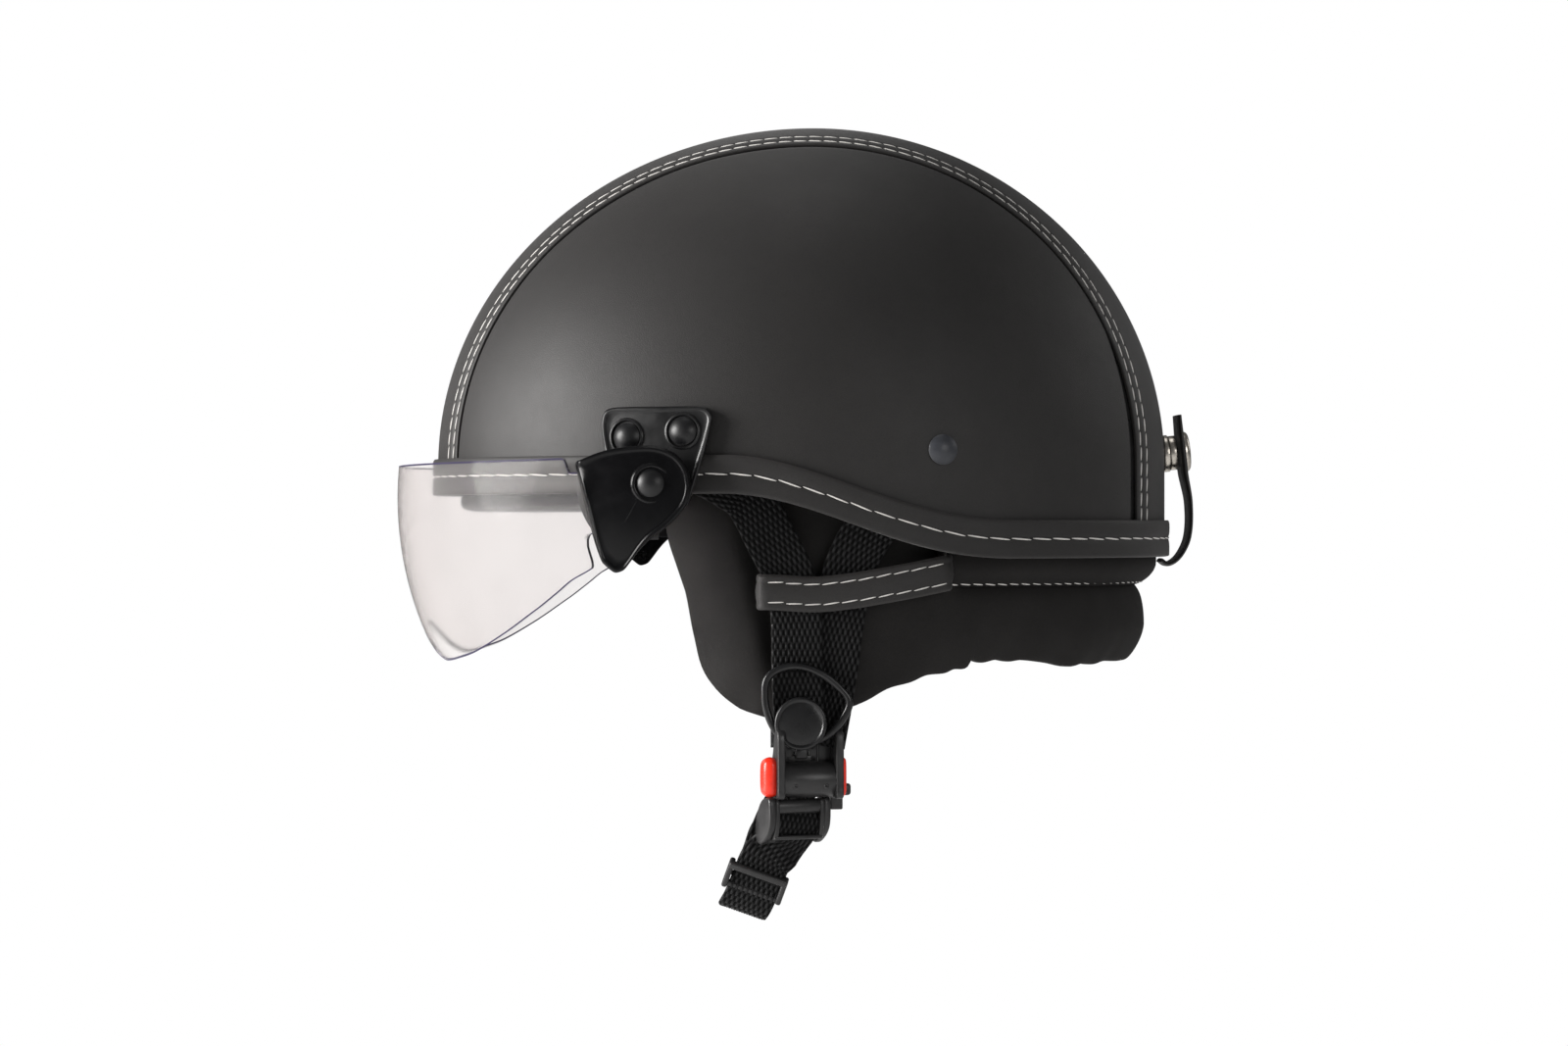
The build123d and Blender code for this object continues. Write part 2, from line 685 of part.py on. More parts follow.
# ---- Tongue with its ladder lock ----
tongue_back = TONGUE_FORWARD - TONGUE_THICKNESS / 2
prong_reach = PRONG_GAP / 2 + PRONG_WIDTH
ladder_bottom = LADDER_TOP - LADDER_HEIGHT
rod_z = ladder_bottom + LADDER_HEIGHT * 0.38
with BuildPart() as buckle_tongue:
    with BuildSketch(buckle_front.offset(tongue_back)):
        with Locations((TONGUE_SHIFT, (TONGUE_TIP + LADDER_TOP - 1) / 2)):
            Rectangle(2 * prong_reach, TONGUE_TIP - LADDER_TOP + 1)
        with Locations((TONGUE_SHIFT, (TONGUE_TIP + LADDER_TOP) / 2 - 1)):
            SlotOverall(TONGUE_TIP - LADDER_TOP - PRONG_WIDTH, PRONG_GAP, rotation=90, mode=Mode.SUBTRACT)
    extrude(amount=TONGUE_THICKNESS)
    for start in (-LADDER_WIDTH / 2, LADDER_WIDTH / 2 - LADDER_SIDE):
        with BuildSketch(buckle_side.offset(start + TONGUE_SHIFT)):
            with Locations((0, LADDER_TOP - LADDER_HEIGHT / 2)):
                RectangleRounded(LADDER_DEPTH, LADDER_HEIGHT, 2.5)
        extrude(amount=LADDER_SIDE)
    with BuildSketch(buckle_side.offset(TONGUE_SHIFT - LADDER_WIDTH / 2)):
        with Locations((0, LADDER_TOP - LADDER_BAR / 2)):
            RectangleRounded(LADDER_DEPTH - 1, LADDER_BAR, 1)
        with Locations((0, rod_z)):
            Circle(LADDER_ROD_RADIUS)
    extrude(amount=LADDER_WIDTH)
save("buckle_tongue", buckle_tongue.part)

# ---- Chin strap: over the ladder lock, through the slider, across to the right side ----
slide_top = Vector(100.6, -14, -151)
slide_bottom = Vector(94.2, -25.4, -167.2)
slide_down = (slide_bottom - slide_top).normalized()
hanger_bar = Vector(-103.5, -4.5, HANGER_BAR_Z)
chin_route = [
    (107.3, -3.9, -134), (107.2, -4.4, -140), (104.6, -8.2, -145.6), slide_top,
    slide_top + slide_down * 10, slide_bottom, (90.6, -27.6, -171), (84, -28, -172.2), (60, -27.3, -172.3),
    (0, -25.5, -172.3), (-70, -23, -172.3), (-90, -21, -168), (-99, -14.5, -152), (-102.6, -6.8, -138),
    (-103.3, -5, -130),
    (-103.5, -4.5, HANGER_BAR_Z - HANGER_BAR_RADIUS - WEBBING_CLEARANCE - WEBBING_THICKNESS / 2),
]
near_across = Vector(0, 0.914, -0.406)
chin_turns = [buckle_along] * 2 + [near_across] * 6 + [(0, 1, 0)] * (len(chin_route) - 8)
with BuildPart() as chin_strap:
    add(ribbon(chin_route, WEBBING_WIDTH, WEBBING_THICKNESS, chin_turns, 64))
    loop_plane = Plane(origin=hanger_bar - Vector(0, WEBBING_WIDTH / 2, 0), x_dir=(1, 0, 0), z_dir=(0, 1, 0))
    with BuildSketch(loop_plane):
        Circle(HANGER_BAR_RADIUS + WEBBING_CLEARANCE + WEBBING_THICKNESS)
        Circle(HANGER_BAR_RADIUS + WEBBING_CLEARANCE, mode=Mode.SUBTRACT)
    extrude(amount=WEBBING_WIDTH)
save("chin_strap", chin_strap.part)

slide_across = (near_across - slide_down * near_across.dot(slide_down)).normalized()
slide_out = slide_down.cross(slide_across)
layer_step = slide_out * (-WEBBING_THICKNESS - WEBBING_CLEARANCE)
tail_route = [
    (101.8, -5, -135.5), (100.9, -6, -141.5), slide_top + layer_step + Vector(-0.4, 0.6, 1.6),
    slide_top + layer_step + slide_down * 9, slide_bottom + layer_step - slide_down,
]
tail_turns = [buckle_along] * 2 + [near_across] * 3
save("chin_strap_tail", ribbon(tail_route, WEBBING_WIDTH, WEBBING_THICKNESS, tail_turns, 20))

slider_centre = slide_top + (slide_bottom - slide_top) * SLIDER_PLACE
slider_plane = Plane(origin=slider_centre, x_dir=slide_across, z_dir=slide_down)
layers = 2 * WEBBING_THICKNESS + WEBBING_CLEARANCE
with BuildPart() as strap_slider:
    with BuildSketch(slider_plane.offset(-SLIDER_HEIGHT / 2)):
        RectangleRounded(SLIDER_WIDTH, SLIDER_DEPTH, 2)
        towards_tail = -1 if slider_plane.y_dir.dot(slide_out) > 0 else 1
        with Locations((0, towards_tail * (layers - WEBBING_THICKNESS) / 2)):
            Rectangle(
                WEBBING_WIDTH + 2 * WEBBING_CLEARANCE, layers + 2 * WEBBING_CLEARANCE, mode=Mode.SUBTRACT
            )
    extrude(amount=SLIDER_HEIGHT)
save("strap_slider", strap_slider.part)

# ---- Hanger for the chin strap on the right side ----
lug_gap = WEBBING_WIDTH / 2 + LUG_CLEARANCE
with BuildPart() as chin_hanger:
    add(mirror(neck_plate(HANGER_BAR_Z + 7, NECK_STEP), about=Plane.YZ))
    plate_x = -(neck_face - NECK_STEP)
    for start in (-lug_gap - HANGER_LUG, lug_gap):
        with BuildSketch(Plane.XZ.offset(-hanger_bar.Y - start - HANGER_LUG)):
            with BuildLine():
                Polyline(
                    (plate_x, HANGER_BAR_Z + 11), (plate_x + NECK_THICKNESS, HANGER_BAR_Z + 11),
                    (plate_x + NECK_THICKNESS, HANGER_BAR_Z - 3), (hanger_bar.X - 3, HANGER_BAR_Z - 3),
                    (hanger_bar.X - 3, HANGER_BAR_Z + 3), close=True,
                )
            make_face()
        extrude(amount=HANGER_LUG)
    with BuildSketch(Plane.XZ.offset(-hanger_bar.Y - lug_gap - HANGER_LUG)):
        with Locations((plate_x + NECK_THICKNESS / 2, HANGER_BAR_Z + 9)):
            Rectangle(NECK_THICKNESS, 4)
        with Locations((hanger_bar.X, hanger_bar.Z)):
            Circle(HANGER_BAR_RADIUS)
    extrude(amount=2 * (lug_gap + HANGER_LUG))
save("chin_hanger", chin_hanger.part)

# ---- Visor: clear shield, hinge stack and cover plates ----
def visor_form(spread):
    """The ellipsoid that lies spread outside the visor's outer face."""
    half_width = VISOR_HALF_WIDTH + spread
    reach = VISOR_REACH + spread
    half_height = VISOR_HALF_HEIGHT + spread
    with BuildPart() as form:
        with Locations((0, VISOR_CENTRE_Y / reach, VISOR_CENTRE_Z / half_height)):
            Sphere(1)
        scale(by=(half_width, reach, half_height))
    return form.part


pivot_plane = Plane(origin=(0, PIVOT_Y, PIVOT_Z), x_dir=(0, 1, 0), z_dir=(1, 0, 0))
pivot_hole_radius = PIVOT_SHANK_RADIUS + PIVOT_CLEARANCE
pivot_hole = bore(pivot_plane, pivot_hole_radius, FAR, FAR)
backing_top = VISOR_TOP - 4.7
with BuildPart() as visor_shield:
    with BuildSketch(Plane.YZ) as visor_side:
        with BuildLine():
            Polyline(
                (-FAR / 2, VISOR_TOP), (-96.5, VISOR_TOP), (-91.5, backing_top), (PIVOT_Y, backing_top),
                (PIVOT_Y, -19.5), (-84, -29), (-86.4, -31.5), (-83.1, -40.5), (-134, -75),
                (-146, VISOR_BOTTOM), (-FAR / 2, VISOR_BOTTOM), close=True,
            )
        make_face()
        fillet(visor_side.vertices().sort_by(Axis.Y)[-7:-2], 1)
        with Locations((PIVOT_Y, PIVOT_Z)):
            Circle(VISOR_EAR_RADIUS)
            Circle(pivot_hole_radius, mode=Mode.SUBTRACT)
    extrude(amount=VISOR_HALF_WIDTH + 10, both=True)
    add(visor_form(0), mode=Mode.INTERSECT)
    add(visor_form(-VISOR_THICKNESS), mode=Mode.SUBTRACT)
save("visor_shield", visor_shield.part)

with BuildPart() as visor_backing:
    with BuildSketch(Plane.YZ):
        with Locations((PIVOT_Y, PIVOT_Z)):
            Circle(BACKING_RADIUS)
        with Locations((PIVOT_Y - BACKING_RADIUS / 2, backing_top - BACKING_DROP / 2)):
            Rectangle(BACKING_RADIUS + 5, BACKING_DROP, mode=Mode.INTERSECT)
        with Locations((PIVOT_Y, PIVOT_Z)):
            Circle(VISOR_EAR_RADIUS)
            Circle(pivot_hole_radius, mode=Mode.SUBTRACT)
    extrude(amount=VISOR_HALF_WIDTH)
    add(visor_form(-VISOR_THICKNESS), mode=Mode.INTERSECT)
    add(visor_form(-VISOR_THICKNESS - BACKING_THICKNESS), mode=Mode.SUBTRACT)
save_pair("visor_backing", visor_backing.part)

with BuildPart() as visor_cover:
    with BuildSketch(Plane.YZ) as cover_side:
        with BuildLine():
            end = CenterArc((PIVOT_Y, PIVOT_Z), COVER_PLATE_END_RADIUS, -62, 160)
            brow = ThreePointArc(end @ 1, (-79, 3.4), (-90, -0.8))
            Polyline(brow @ 1, (-90.4, -7), (-87.2, -20), (-82.2, -38), (-74.5, -42.2), (-70.5, -38), end @ 0)
        make_face()
        fillet(cover_side.vertices().sort_by(Axis.Y)[:6], 1.5)
    extrude(amount=VISOR_HALF_WIDTH + 10)
    add(visor_form(COVER_PLATE_THICKNESS), mode=Mode.INTERSECT)
    add(visor_form(0), mode=Mode.SUBTRACT)
    add(pivot_hole, mode=Mode.SUBTRACT)
    with BuildSketch(pivot_plane.offset(PIVOT_SEAT)):
        Circle(COVER_RECESS_RADIUS)
    extrude(amount=10, mode=Mode.SUBTRACT)
save_pair("visor_cover", visor_cover.part)

with BuildPart() as bracket_skin:
    add(dome(-BRACKET_RISE))
    with BuildSketch(pivot_plane):
        Circle(HINGE_BOSS_RADIUS)
    extrude(amount=HINGE_FACE)
    add(dome(COVER_INSET), mode=Mode.SUBTRACT)

with BuildPart() as trim_room:
    add(dome(-TRIM_THICKNESS))
    add(above_rim(TRIM_HEIGHT + TRIM_CLEARANCE), mode=Mode.SUBTRACT)

with BuildPart() as bracket:
    with BuildSketch(Plane.YZ) as bracket_side:
        with BuildLine():
            Polyline((-81.6, 20.5), (-38.6, 20.7), (-48.5, -18.5), (-75, -18.5), close=True)
        make_face()
        fillet(bracket_side.vertices(), BRACKET_CORNER)
    extrude(amount=HINGE_FACE)
    add(bracket_skin.part, mode=Mode.INTERSECT)
    add(trim_room.part, mode=Mode.SUBTRACT)
    add(shank_holes.part, mode=Mode.SUBTRACT)
    add(bore(pivot_plane, PIVOT_SHANK_RADIUS + RIVET_HOLE_CLEARANCE, 0, FAR), mode=Mode.SUBTRACT)
save_pair("visor_bracket", bracket.part)

with BuildPart() as hinge_washers:
    with BuildSketch(pivot_plane.offset(HINGE_FACE + WASHER_GAP)):
        Circle(WASHER_RADIUS)
        Circle(PIVOT_SHANK_RADIUS + RIVET_HOLE_CLEARANCE, mode=Mode.SUBTRACT)
    extrude(amount=WASHER_THICKNESS)
    mirror(about=Plane.YZ)
save("hinge_washers", hinge_washers.part)

pivot_seat_plane = pivot_plane.offset(PIVOT_SEAT + WASHER_GAP)
pivot_length = PIVOT_SEAT + WASHER_GAP - HINGE_FACE + PIVOT_ROOT
pivot_rivet = dome_rivet(
    pivot_seat_plane, PIVOT_HEAD_RADIUS, PIVOT_HEAD_HEIGHT, PIVOT_SHANK_RADIUS, pivot_length
)
save("pivot_rivets", both_sides(pivot_rivet))

# ---- Goggle strap tab at the rear, with its snap ----
snap_out = Vector(0, cos(radians(SNAP_TILT)), sin(radians(SNAP_TILT)))
snap_up = Vector(0, -snap_out.Z, snap_out.Y)
snap_foot = Vector(0, REAR_REACH * sqrt(1 - (SNAP_Z / CROWN_HEIGHT) ** 2), SNAP_Z)
snap_plane = Plane(origin=snap_foot, x_dir=(1, 0, 0), z_dir=snap_out)
tab_depth = STUD_BASE + SNAP_GAP + SOCKET_DEPTH + TAB_SEAT_GAP
tab_seat = snap_foot + snap_out * (tab_depth + TAB_THICKNESS / 2)

with BuildPart() as snap_stud:
    with BuildSketch(snap_plane.offset(-1)):
        Circle(STUD_RADIUS)
    extrude(amount=1 + STUD_BASE)
    with BuildSketch(snap_plane.offset(STUD_BASE)):
        Circle(STUD_NUB_RADIUS)
    extrude(amount=STUD_NUB)
    add(dome(0), mode=Mode.SUBTRACT)
save("snap_stud", snap_stud.part)

with BuildPart() as snap_socket:
    with BuildSketch(snap_plane.offset(STUD_BASE + SNAP_GAP)):
        Circle(STUD_RADIUS - 0.5)
        Circle(STUD_NUB_RADIUS + SOCKET_CLEARANCE, mode=Mode.SUBTRACT)
    extrude(amount=SOCKET_DEPTH)
save("snap_socket", snap_socket.part)

tab_route = [
    (0, TAB_ROOT_Y, TAB_ROOT_Z), (0, 144.2, -39.9), (0, 149, -36.5), (0, 152.6, -28.5), (0, 153, -15),
]
tab_route += [tab_seat + snap_up * step for step in (-TAB_FLAT, -TAB_FLAT / 2, 0, TAB_REACH / 2, TAB_REACH)]
tab_turns = [(1, 0, 0)] * len(tab_route)
save("goggle_tab", ribbon(tab_route, TAB_WIDTH, TAB_THICKNESS, tab_turns, 40))

with BuildPart() as snap_cap:
    with BuildSketch(snap_plane.offset(tab_depth + TAB_THICKNESS + TAB_SEAT_GAP)):
        Circle(CAP_RADIUS)
    extrude(amount=CAP_THICKNESS)
    rims = snap_cap.edges().filter_by(GeomType.CIRCLE).sort_by(Axis(snap_foot, snap_out))
    fillet(rims[-1], RIVET_ROUNDING * CAP_THICKNESS)
save("snap_cap", snap_cap.part)
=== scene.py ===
import bpy
import bmesh
from math import acos, asin, cos, exp, pi, radians, sin, sqrt
from mathutils import Matrix, Vector, noise
from mathutils.geometry import interpolate_bezier


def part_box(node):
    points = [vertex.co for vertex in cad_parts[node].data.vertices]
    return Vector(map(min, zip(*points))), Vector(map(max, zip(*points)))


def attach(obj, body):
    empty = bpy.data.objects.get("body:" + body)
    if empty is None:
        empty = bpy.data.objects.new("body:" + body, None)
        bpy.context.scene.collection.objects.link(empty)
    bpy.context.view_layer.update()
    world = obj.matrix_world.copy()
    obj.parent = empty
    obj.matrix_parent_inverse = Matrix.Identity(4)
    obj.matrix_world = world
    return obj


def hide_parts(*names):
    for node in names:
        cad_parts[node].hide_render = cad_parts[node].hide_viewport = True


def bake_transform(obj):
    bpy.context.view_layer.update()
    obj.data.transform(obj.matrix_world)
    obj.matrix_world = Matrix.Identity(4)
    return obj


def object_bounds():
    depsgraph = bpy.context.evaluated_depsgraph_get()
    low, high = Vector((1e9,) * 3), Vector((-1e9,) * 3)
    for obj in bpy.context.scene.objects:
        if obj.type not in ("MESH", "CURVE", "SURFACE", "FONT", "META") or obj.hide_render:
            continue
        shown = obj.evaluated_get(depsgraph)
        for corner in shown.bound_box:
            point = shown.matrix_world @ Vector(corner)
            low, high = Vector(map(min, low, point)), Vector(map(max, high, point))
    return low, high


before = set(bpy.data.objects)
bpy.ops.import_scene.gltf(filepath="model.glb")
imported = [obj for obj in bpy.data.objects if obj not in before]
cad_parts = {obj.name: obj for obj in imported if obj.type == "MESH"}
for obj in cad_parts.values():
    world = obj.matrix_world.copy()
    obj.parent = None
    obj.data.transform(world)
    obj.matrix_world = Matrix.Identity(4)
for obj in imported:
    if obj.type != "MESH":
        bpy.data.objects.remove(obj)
CAD_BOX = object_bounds()

bl_info = {
    "name": "Open face helmet",
    "version": (1, 0, 0),
    "blender": (4, 5, 0),
    "location": "View3D > Sidebar > Helmet",
    "description": "Dresses the open face helmet: leather, padding, webbing, visor and hardware",
    "category": "Object",
}

# Places and sizes are in metres, in the frame's own axes: +X wearer's left, -Y face, +Z crown.
MM = 0.001
STRIP_LOW, STRIP_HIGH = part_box("crown_strip")
ROOT = "helmet"
SIDES = ((1, "left"), (-1, "right"))
UP = Vector((0, 0, 1))
UP_DOWN, FRONT_BACK = (0, 0, 1), (0, 1, 0)


# ---- Sizes and colours that a user would change ----
def distance(name, description, default):
    return bpy.props.FloatProperty(name=name, description=description, default=default, unit="LENGTH")


def paint(name, description, default):
    return bpy.props.FloatVectorProperty(name=name, description=description, default=(*default, 1),
                                         subtype="COLOR", size=4, min=0, max=1)


def lamp_power(name, description, default):
    return bpy.props.FloatProperty(name=name, description=description, default=default, min=0, unit="POWER")


class HelmetSizes(bpy.types.PropertyGroup):
    half_width: distance("Half width", "From the plane of symmetry to the crown strip's outer face",
                         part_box("side_cover_left")[1].x + 0.6 * MM)
    front_reach: distance("Front reach", "From the origin to the brow", -STRIP_LOW.y)
    rear_reach: distance("Rear reach", "From the origin to the nape", STRIP_HIGH.y)
    crown_height: distance("Crown height", "From the equator to the top", STRIP_HIGH.z)
    front_rim: distance("Front rim", "Height of the lower edge at the brow", -12 * MM)
    rear_rim: distance("Rear rim", "Height of the lower edge at the nape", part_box("rim_trim")[0].z)
    trim_height: distance("Trim height", "Height of the leather band round the rim", 14.5 * MM)
    webbing_width: distance("Webbing width", "Width of every strap", 19.5 * MM)


class HelmetLook(bpy.types.PropertyGroup):
    leather: paint("Leather", "Colour of the outer leather", (0.021, 0.0195, 0.019))
    padding: paint("Padding", "Colour of the soft leather of flaps and neck roll", (0.0235, 0.0222, 0.0217))
    thread: paint("Thread", "Colour of the stitching", (0.90, 0.875, 0.84))
    button: paint("Button", "Colour of the release buttons", (0.85, 0.030, 0.012))
    tint: paint("Visor tint", "Tint of the clear visor", (0.975, 0.965, 0.963))
    key_power: lamp_power("Key light", "Power of the large light ahead of the helmet", 42.0)
    fill_power: lamp_power("Fill light", "Power of the light above the helmet", 3.2)


# ---- Curves and the shell's surface ----
def power(value, exponent):
    """A power that keeps the sign."""
    return abs(value) ** exponent * (1 if value >= 0 else -1)


def clamped(value, low=0, high=1):
    return min(max(value, low), high)


def soft_step(share):
    return share * share * (3 - 2 * share)


def ease(value, start, end):
    """0 before start, 1 past end and a soft step between them."""
    return soft_step(clamped((value - start) / (end - start)))


def bump(distance, width):
    """1 on a line and fading to 0 over a width beside it."""
    return exp(-(distance / width) ** 2)


def cubic(ends, share):
    """One coordinate of a cubic curve."""
    a, b, c, d = ends
    rest = 1 - share
    return a * rest**3 + 3 * b * rest**2 * share + 3 * c * rest * share**2 + d * share**3


def read_cubic(curve, y):
    """The value of a cubic curve of (y, value) points where it passes y."""
    places, values = zip(*curve)
    low, high = 0.0, 1.0
    for _ in range(24):
        middle = (low + high) / 2
        if cubic(places, middle) < y:
            low = middle
        else:
            high = middle
    return cubic(values, low)


def read_line(points, place):
    """The value of a smooth chain of (place, value) points, held at its ends."""
    if place <= points[0][0]:
        return points[0][1]
    if place >= points[-1][0]:
        return points[-1][1]
    at = max(i for i, point in enumerate(points[:-1]) if point[0] <= place)
    (start, first), (end, second) = points[at], points[at + 1]
    before, after = points[max(at - 1, 0)], points[min(at + 2, len(points) - 1)]
    run = end - start
    leave = (second - before[1]) / (end - before[0]) * run
    arrive = (after[1] - first) / (after[0] - start) * run
    share = (place - start) / run
    square, cube = share**2, share**3
    return (first * (2 * cube - 3 * square + 1) + leave * (cube - 2 * square + share)
            + second * (3 * square - 2 * cube) + arrive * (cube - square))


class Dome:
    """The outside of the leather: half ellipsoids over the equator, an upright wall below it."""

    def __init__(self, sizes):
        self.wide = sizes.half_width
        self.front = sizes.front_reach
        self.rear = sizes.rear_reach
        self.high = sizes.crown_height
        self.trim = sizes.trim_height
        front_rim, rear_rim = sizes.front_rim, sizes.rear_rim
        self.rim = [(-35 * MM, front_rim), (0, front_rim), (30 * MM, rear_rim), (75 * MM, rear_rim)]
        start, end = -self.front - 20 * MM, self.rear + 20 * MM
        self.strip = [(start, 45 * MM), (20 * MM, 45 * MM), (60 * MM, 45 * MM), (end, 60 * MM)]

    def reach(self, turn):
        return self.front if cos(turn) > 0 else self.rear

    def along(self, turn):
        """How far back the skin is at a turn from the face, at the equator and below."""
        return -self.reach(turn) * cos(turn)

    def at(self, turn, height, out=0.0):
        """The point at a turn from the face round the left side and at a height, out beyond the skin."""
        lift = min(max(height, 0) / (self.high + out), 1)
        inward = sqrt(1 - lift * lift)
        x = (self.wide + out) * sin(turn) * inward
        return Vector((x, -(self.reach(turn) + out) * cos(turn) * inward, height))

    def on_side(self, y, z, out, side=1):
        """The place on the left (side 1) or right (side -1) that lies out beyond the skin."""
        long = (self.front if y < 0 else self.rear) + out
        inward = 1 - (y / long) ** 2 - (max(z, 0) / (self.high + out)) ** 2
        return Vector((side * (self.wide + out) * sqrt(max(inward, 0)), y, z))

    def normal(self, point):
        long = self.front if point.y < 0 else self.rear
        lift = max(point.z, 0)
        return Vector((point.x / self.wide**2, point.y / long**2, lift / self.high**2)).normalized()

    def rim_height(self, y):
        if y < self.rim[0][0]:
            return self.rim[0][1]
        if y > self.rim[3][0]:
            return self.rim[3][1]
        return read_cubic(self.rim, y)

    def strip_edge(self, y):
        return read_cubic(self.strip, y)


# ---- Modelling helpers ----
def deselect():
    for thing in bpy.context.selected_objects:
        thing.select_set(False)


def choose(piece):
    deselect()
    piece.select_set(True)
    bpy.context.view_layer.objects.active = piece


def edit(piece, *steps):
    """Runs (operator, settings) steps in edit mode, each on all of the piece."""
    choose(piece)
    bpy.ops.object.mode_set(mode="EDIT")
    for step, settings in steps:
        bpy.ops.mesh.select_all(action="SELECT")
        getattr(bpy.ops.mesh, step)(**settings)
    bpy.ops.object.mode_set(mode="OBJECT")


def shaped_grid(name, columns, rows, place, size=(1, 1)):
    """A grid whose point at shares (u, v) goes to place(u, v); its UV map is size metres across."""
    deselect()
    bpy.ops.mesh.primitive_grid_add(x_subdivisions=columns, y_subdivisions=rows, size=1)
    piece = bpy.context.object
    piece.name = name
    for loop in piece.data.uv_layers[0].data:
        loop.uv = (loop.uv[0] * size[0], loop.uv[1] * size[1])
    for vertex in piece.data.vertices:
        vertex.co = place(vertex.co.x + 0.5, vertex.co.y + 0.5)
    return piece


def close_up(piece, merge=0.01 * MM, fill=True):
    """Merges the seams, closes open ends and turns every face outwards."""
    steps = [("remove_doubles", {"threshold": merge}), ("dissolve_degenerate", {"threshold": merge})]
    if fill:
        steps.append(("fill_holes", {"sides": 0}))
    edit(piece, *steps, ("normals_make_consistent", {"inside": False}))


def shade(piece, angle=40):
    choose(piece)
    bpy.ops.object.shade_smooth_by_angle(angle=radians(angle))
    return piece


def closed_grid(name, columns, rows, place, angle, size=(1, 1), **closing):
    """A grid shaped into a closed body: its seams merged, its ends closed and its faces shaded smooth."""
    piece = shaped_grid(name, columns, rows, place, size)
    close_up(piece, **closing)
    return shade(piece, angle)


def apply(piece, kind, **settings):
    """Adds a modifier, sets it and applies it."""
    choose(piece)
    modifier = piece.modifiers.new(kind.title(), kind)
    for key, value in settings.items():
        setattr(modifier, key, value)
    bpy.ops.object.modifier_apply(modifier=modifier.name)


def round_over(piece, width, angle=None, segments=3, **more):
    """Rounds the edges that are sharper than an angle in degrees, or all of them."""
    limit = {"limit_method": "ANGLE", "angle_limit": radians(angle)} if angle else {"limit_method": "NONE"}
    apply(piece, "BEVEL", width=width, segments=segments, **limit, **more)


def finish_piece(piece, finish, body, *nodes):
    """Gives a piece its material, body (None if it bends) and the nodes it stands for."""
    material, slot = FINISHES[finish]
    piece.data.materials.clear()
    piece.data.materials.append(material)
    if body:
        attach(piece, body)
    if nodes:
        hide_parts(*nodes)


def new_object(name, mesh):
    piece = bpy.data.objects.new(name, mesh)
    bpy.context.scene.collection.objects.link(piece)
    return piece


def machined(cad_node, body, finish, rounding, angle=35):
    """A hard part: its own solid with merged faces and rounded edges."""
    piece = new_object(f"{cad_node}_finished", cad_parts[cad_node].data.copy())
    choose(piece)
    bpy.ops.mesh.customdata_custom_splitnormals_clear()
    edit(piece, ("remove_doubles", {"threshold": 0.002 * MM}),
         ("dissolve_limited", {"angle_limit": radians(0.5)}))
    if rounding:
        round_over(piece, rounding, angle, segments=2, use_clamp_overlap=True)
    shade(piece, angle)
    finish_piece(piece, finish, body, cad_node)


def chain_lengths(places):
    """How far along a chain each of its places is."""
    lengths = [0.0]
    for first, second in zip(places, places[1:]):
        lengths.append(lengths[-1] + (second - first).length)
    return lengths


def even_steps(lengths, count, steps, shift=0):
    """(leg, share of the leg) for a number of steps, of which count would fill a chain."""
    at = 0
    for i in range(steps):
        target = lengths[-1] * (i + shift) / count
        while at < len(lengths) - 2 and lengths[at + 1] < target:
            at += 1
        yield at, (target - lengths[at]) / max(lengths[at + 1] - lengths[at], 1e-9)


def smooth_line(points, count):
    """count + 1 evenly spaced (place, direction, position along the points) on a smooth line."""
    points = [Vector(point) for point in points]
    padded = [2 * points[0] - points[1]] + points + [2 * points[-1] - points[-2]]
    fine = []
    for leg, (a, b, c, d) in enumerate(zip(padded, padded[1:], padded[2:], padded[3:])):
        reach = (c - b).length / 3
        leave = b + (c - a).normalized() * reach
        arrive = c - (d - b).normalized() * reach
        for i, place in enumerate(interpolate_bezier(b, leave, arrive, c, 25)[:-1]):
            fine.append((place, leg + i / 24))
    fine.append((points[-1], len(points) - 1))
    lengths = chain_lengths([place for place, _ in fine])
    line = []
    for at, share in even_steps(lengths, count, count + 1):
        (first, low), (second, high) = fine[at], fine[at + 1]
        direction = (second - first).normalized()
        line.append((first.lerp(second, share), direction, low + (high - low) * share))
    return line, lengths[-1]


def closed_line(points, count):
    """count + 1 evenly spaced places on a smooth line round (right, up) points, the last on the first."""
    wrapped = [Vector((a, b, 0)) for a, b in points]
    around = wrapped[-3:] + wrapped + wrapped[:4]
    line, _ = smooth_line(around, 40 * len(around))
    ring = [place for place, _, position in line if 3 <= position <= 3 + len(points)]
    places = [ring[at].lerp(ring[at + 1], share)
              for at, share in even_steps(chain_lengths(ring), count, count)]
    return places + places[:1]


def turned(name, profile, centre, axis, segments=56):
    """A round part: a chain of (radius, height) points in millimetres, turned about an axis."""
    axis = Vector(axis).normalized()
    across = axis.orthogonal().normalized()
    beside = axis.cross(across)
    rows = len(profile) - 1

    def place(u, v):
        radius, height = profile[round(v * rows)]
        turn = 2 * pi * u
        return (Vector(centre) + axis * (height * MM)
                + (across * cos(turn) + beside * sin(turn)) * (radius * MM))

    return closed_grid(name, segments, rows, place, 42, merge=0.005 * MM)


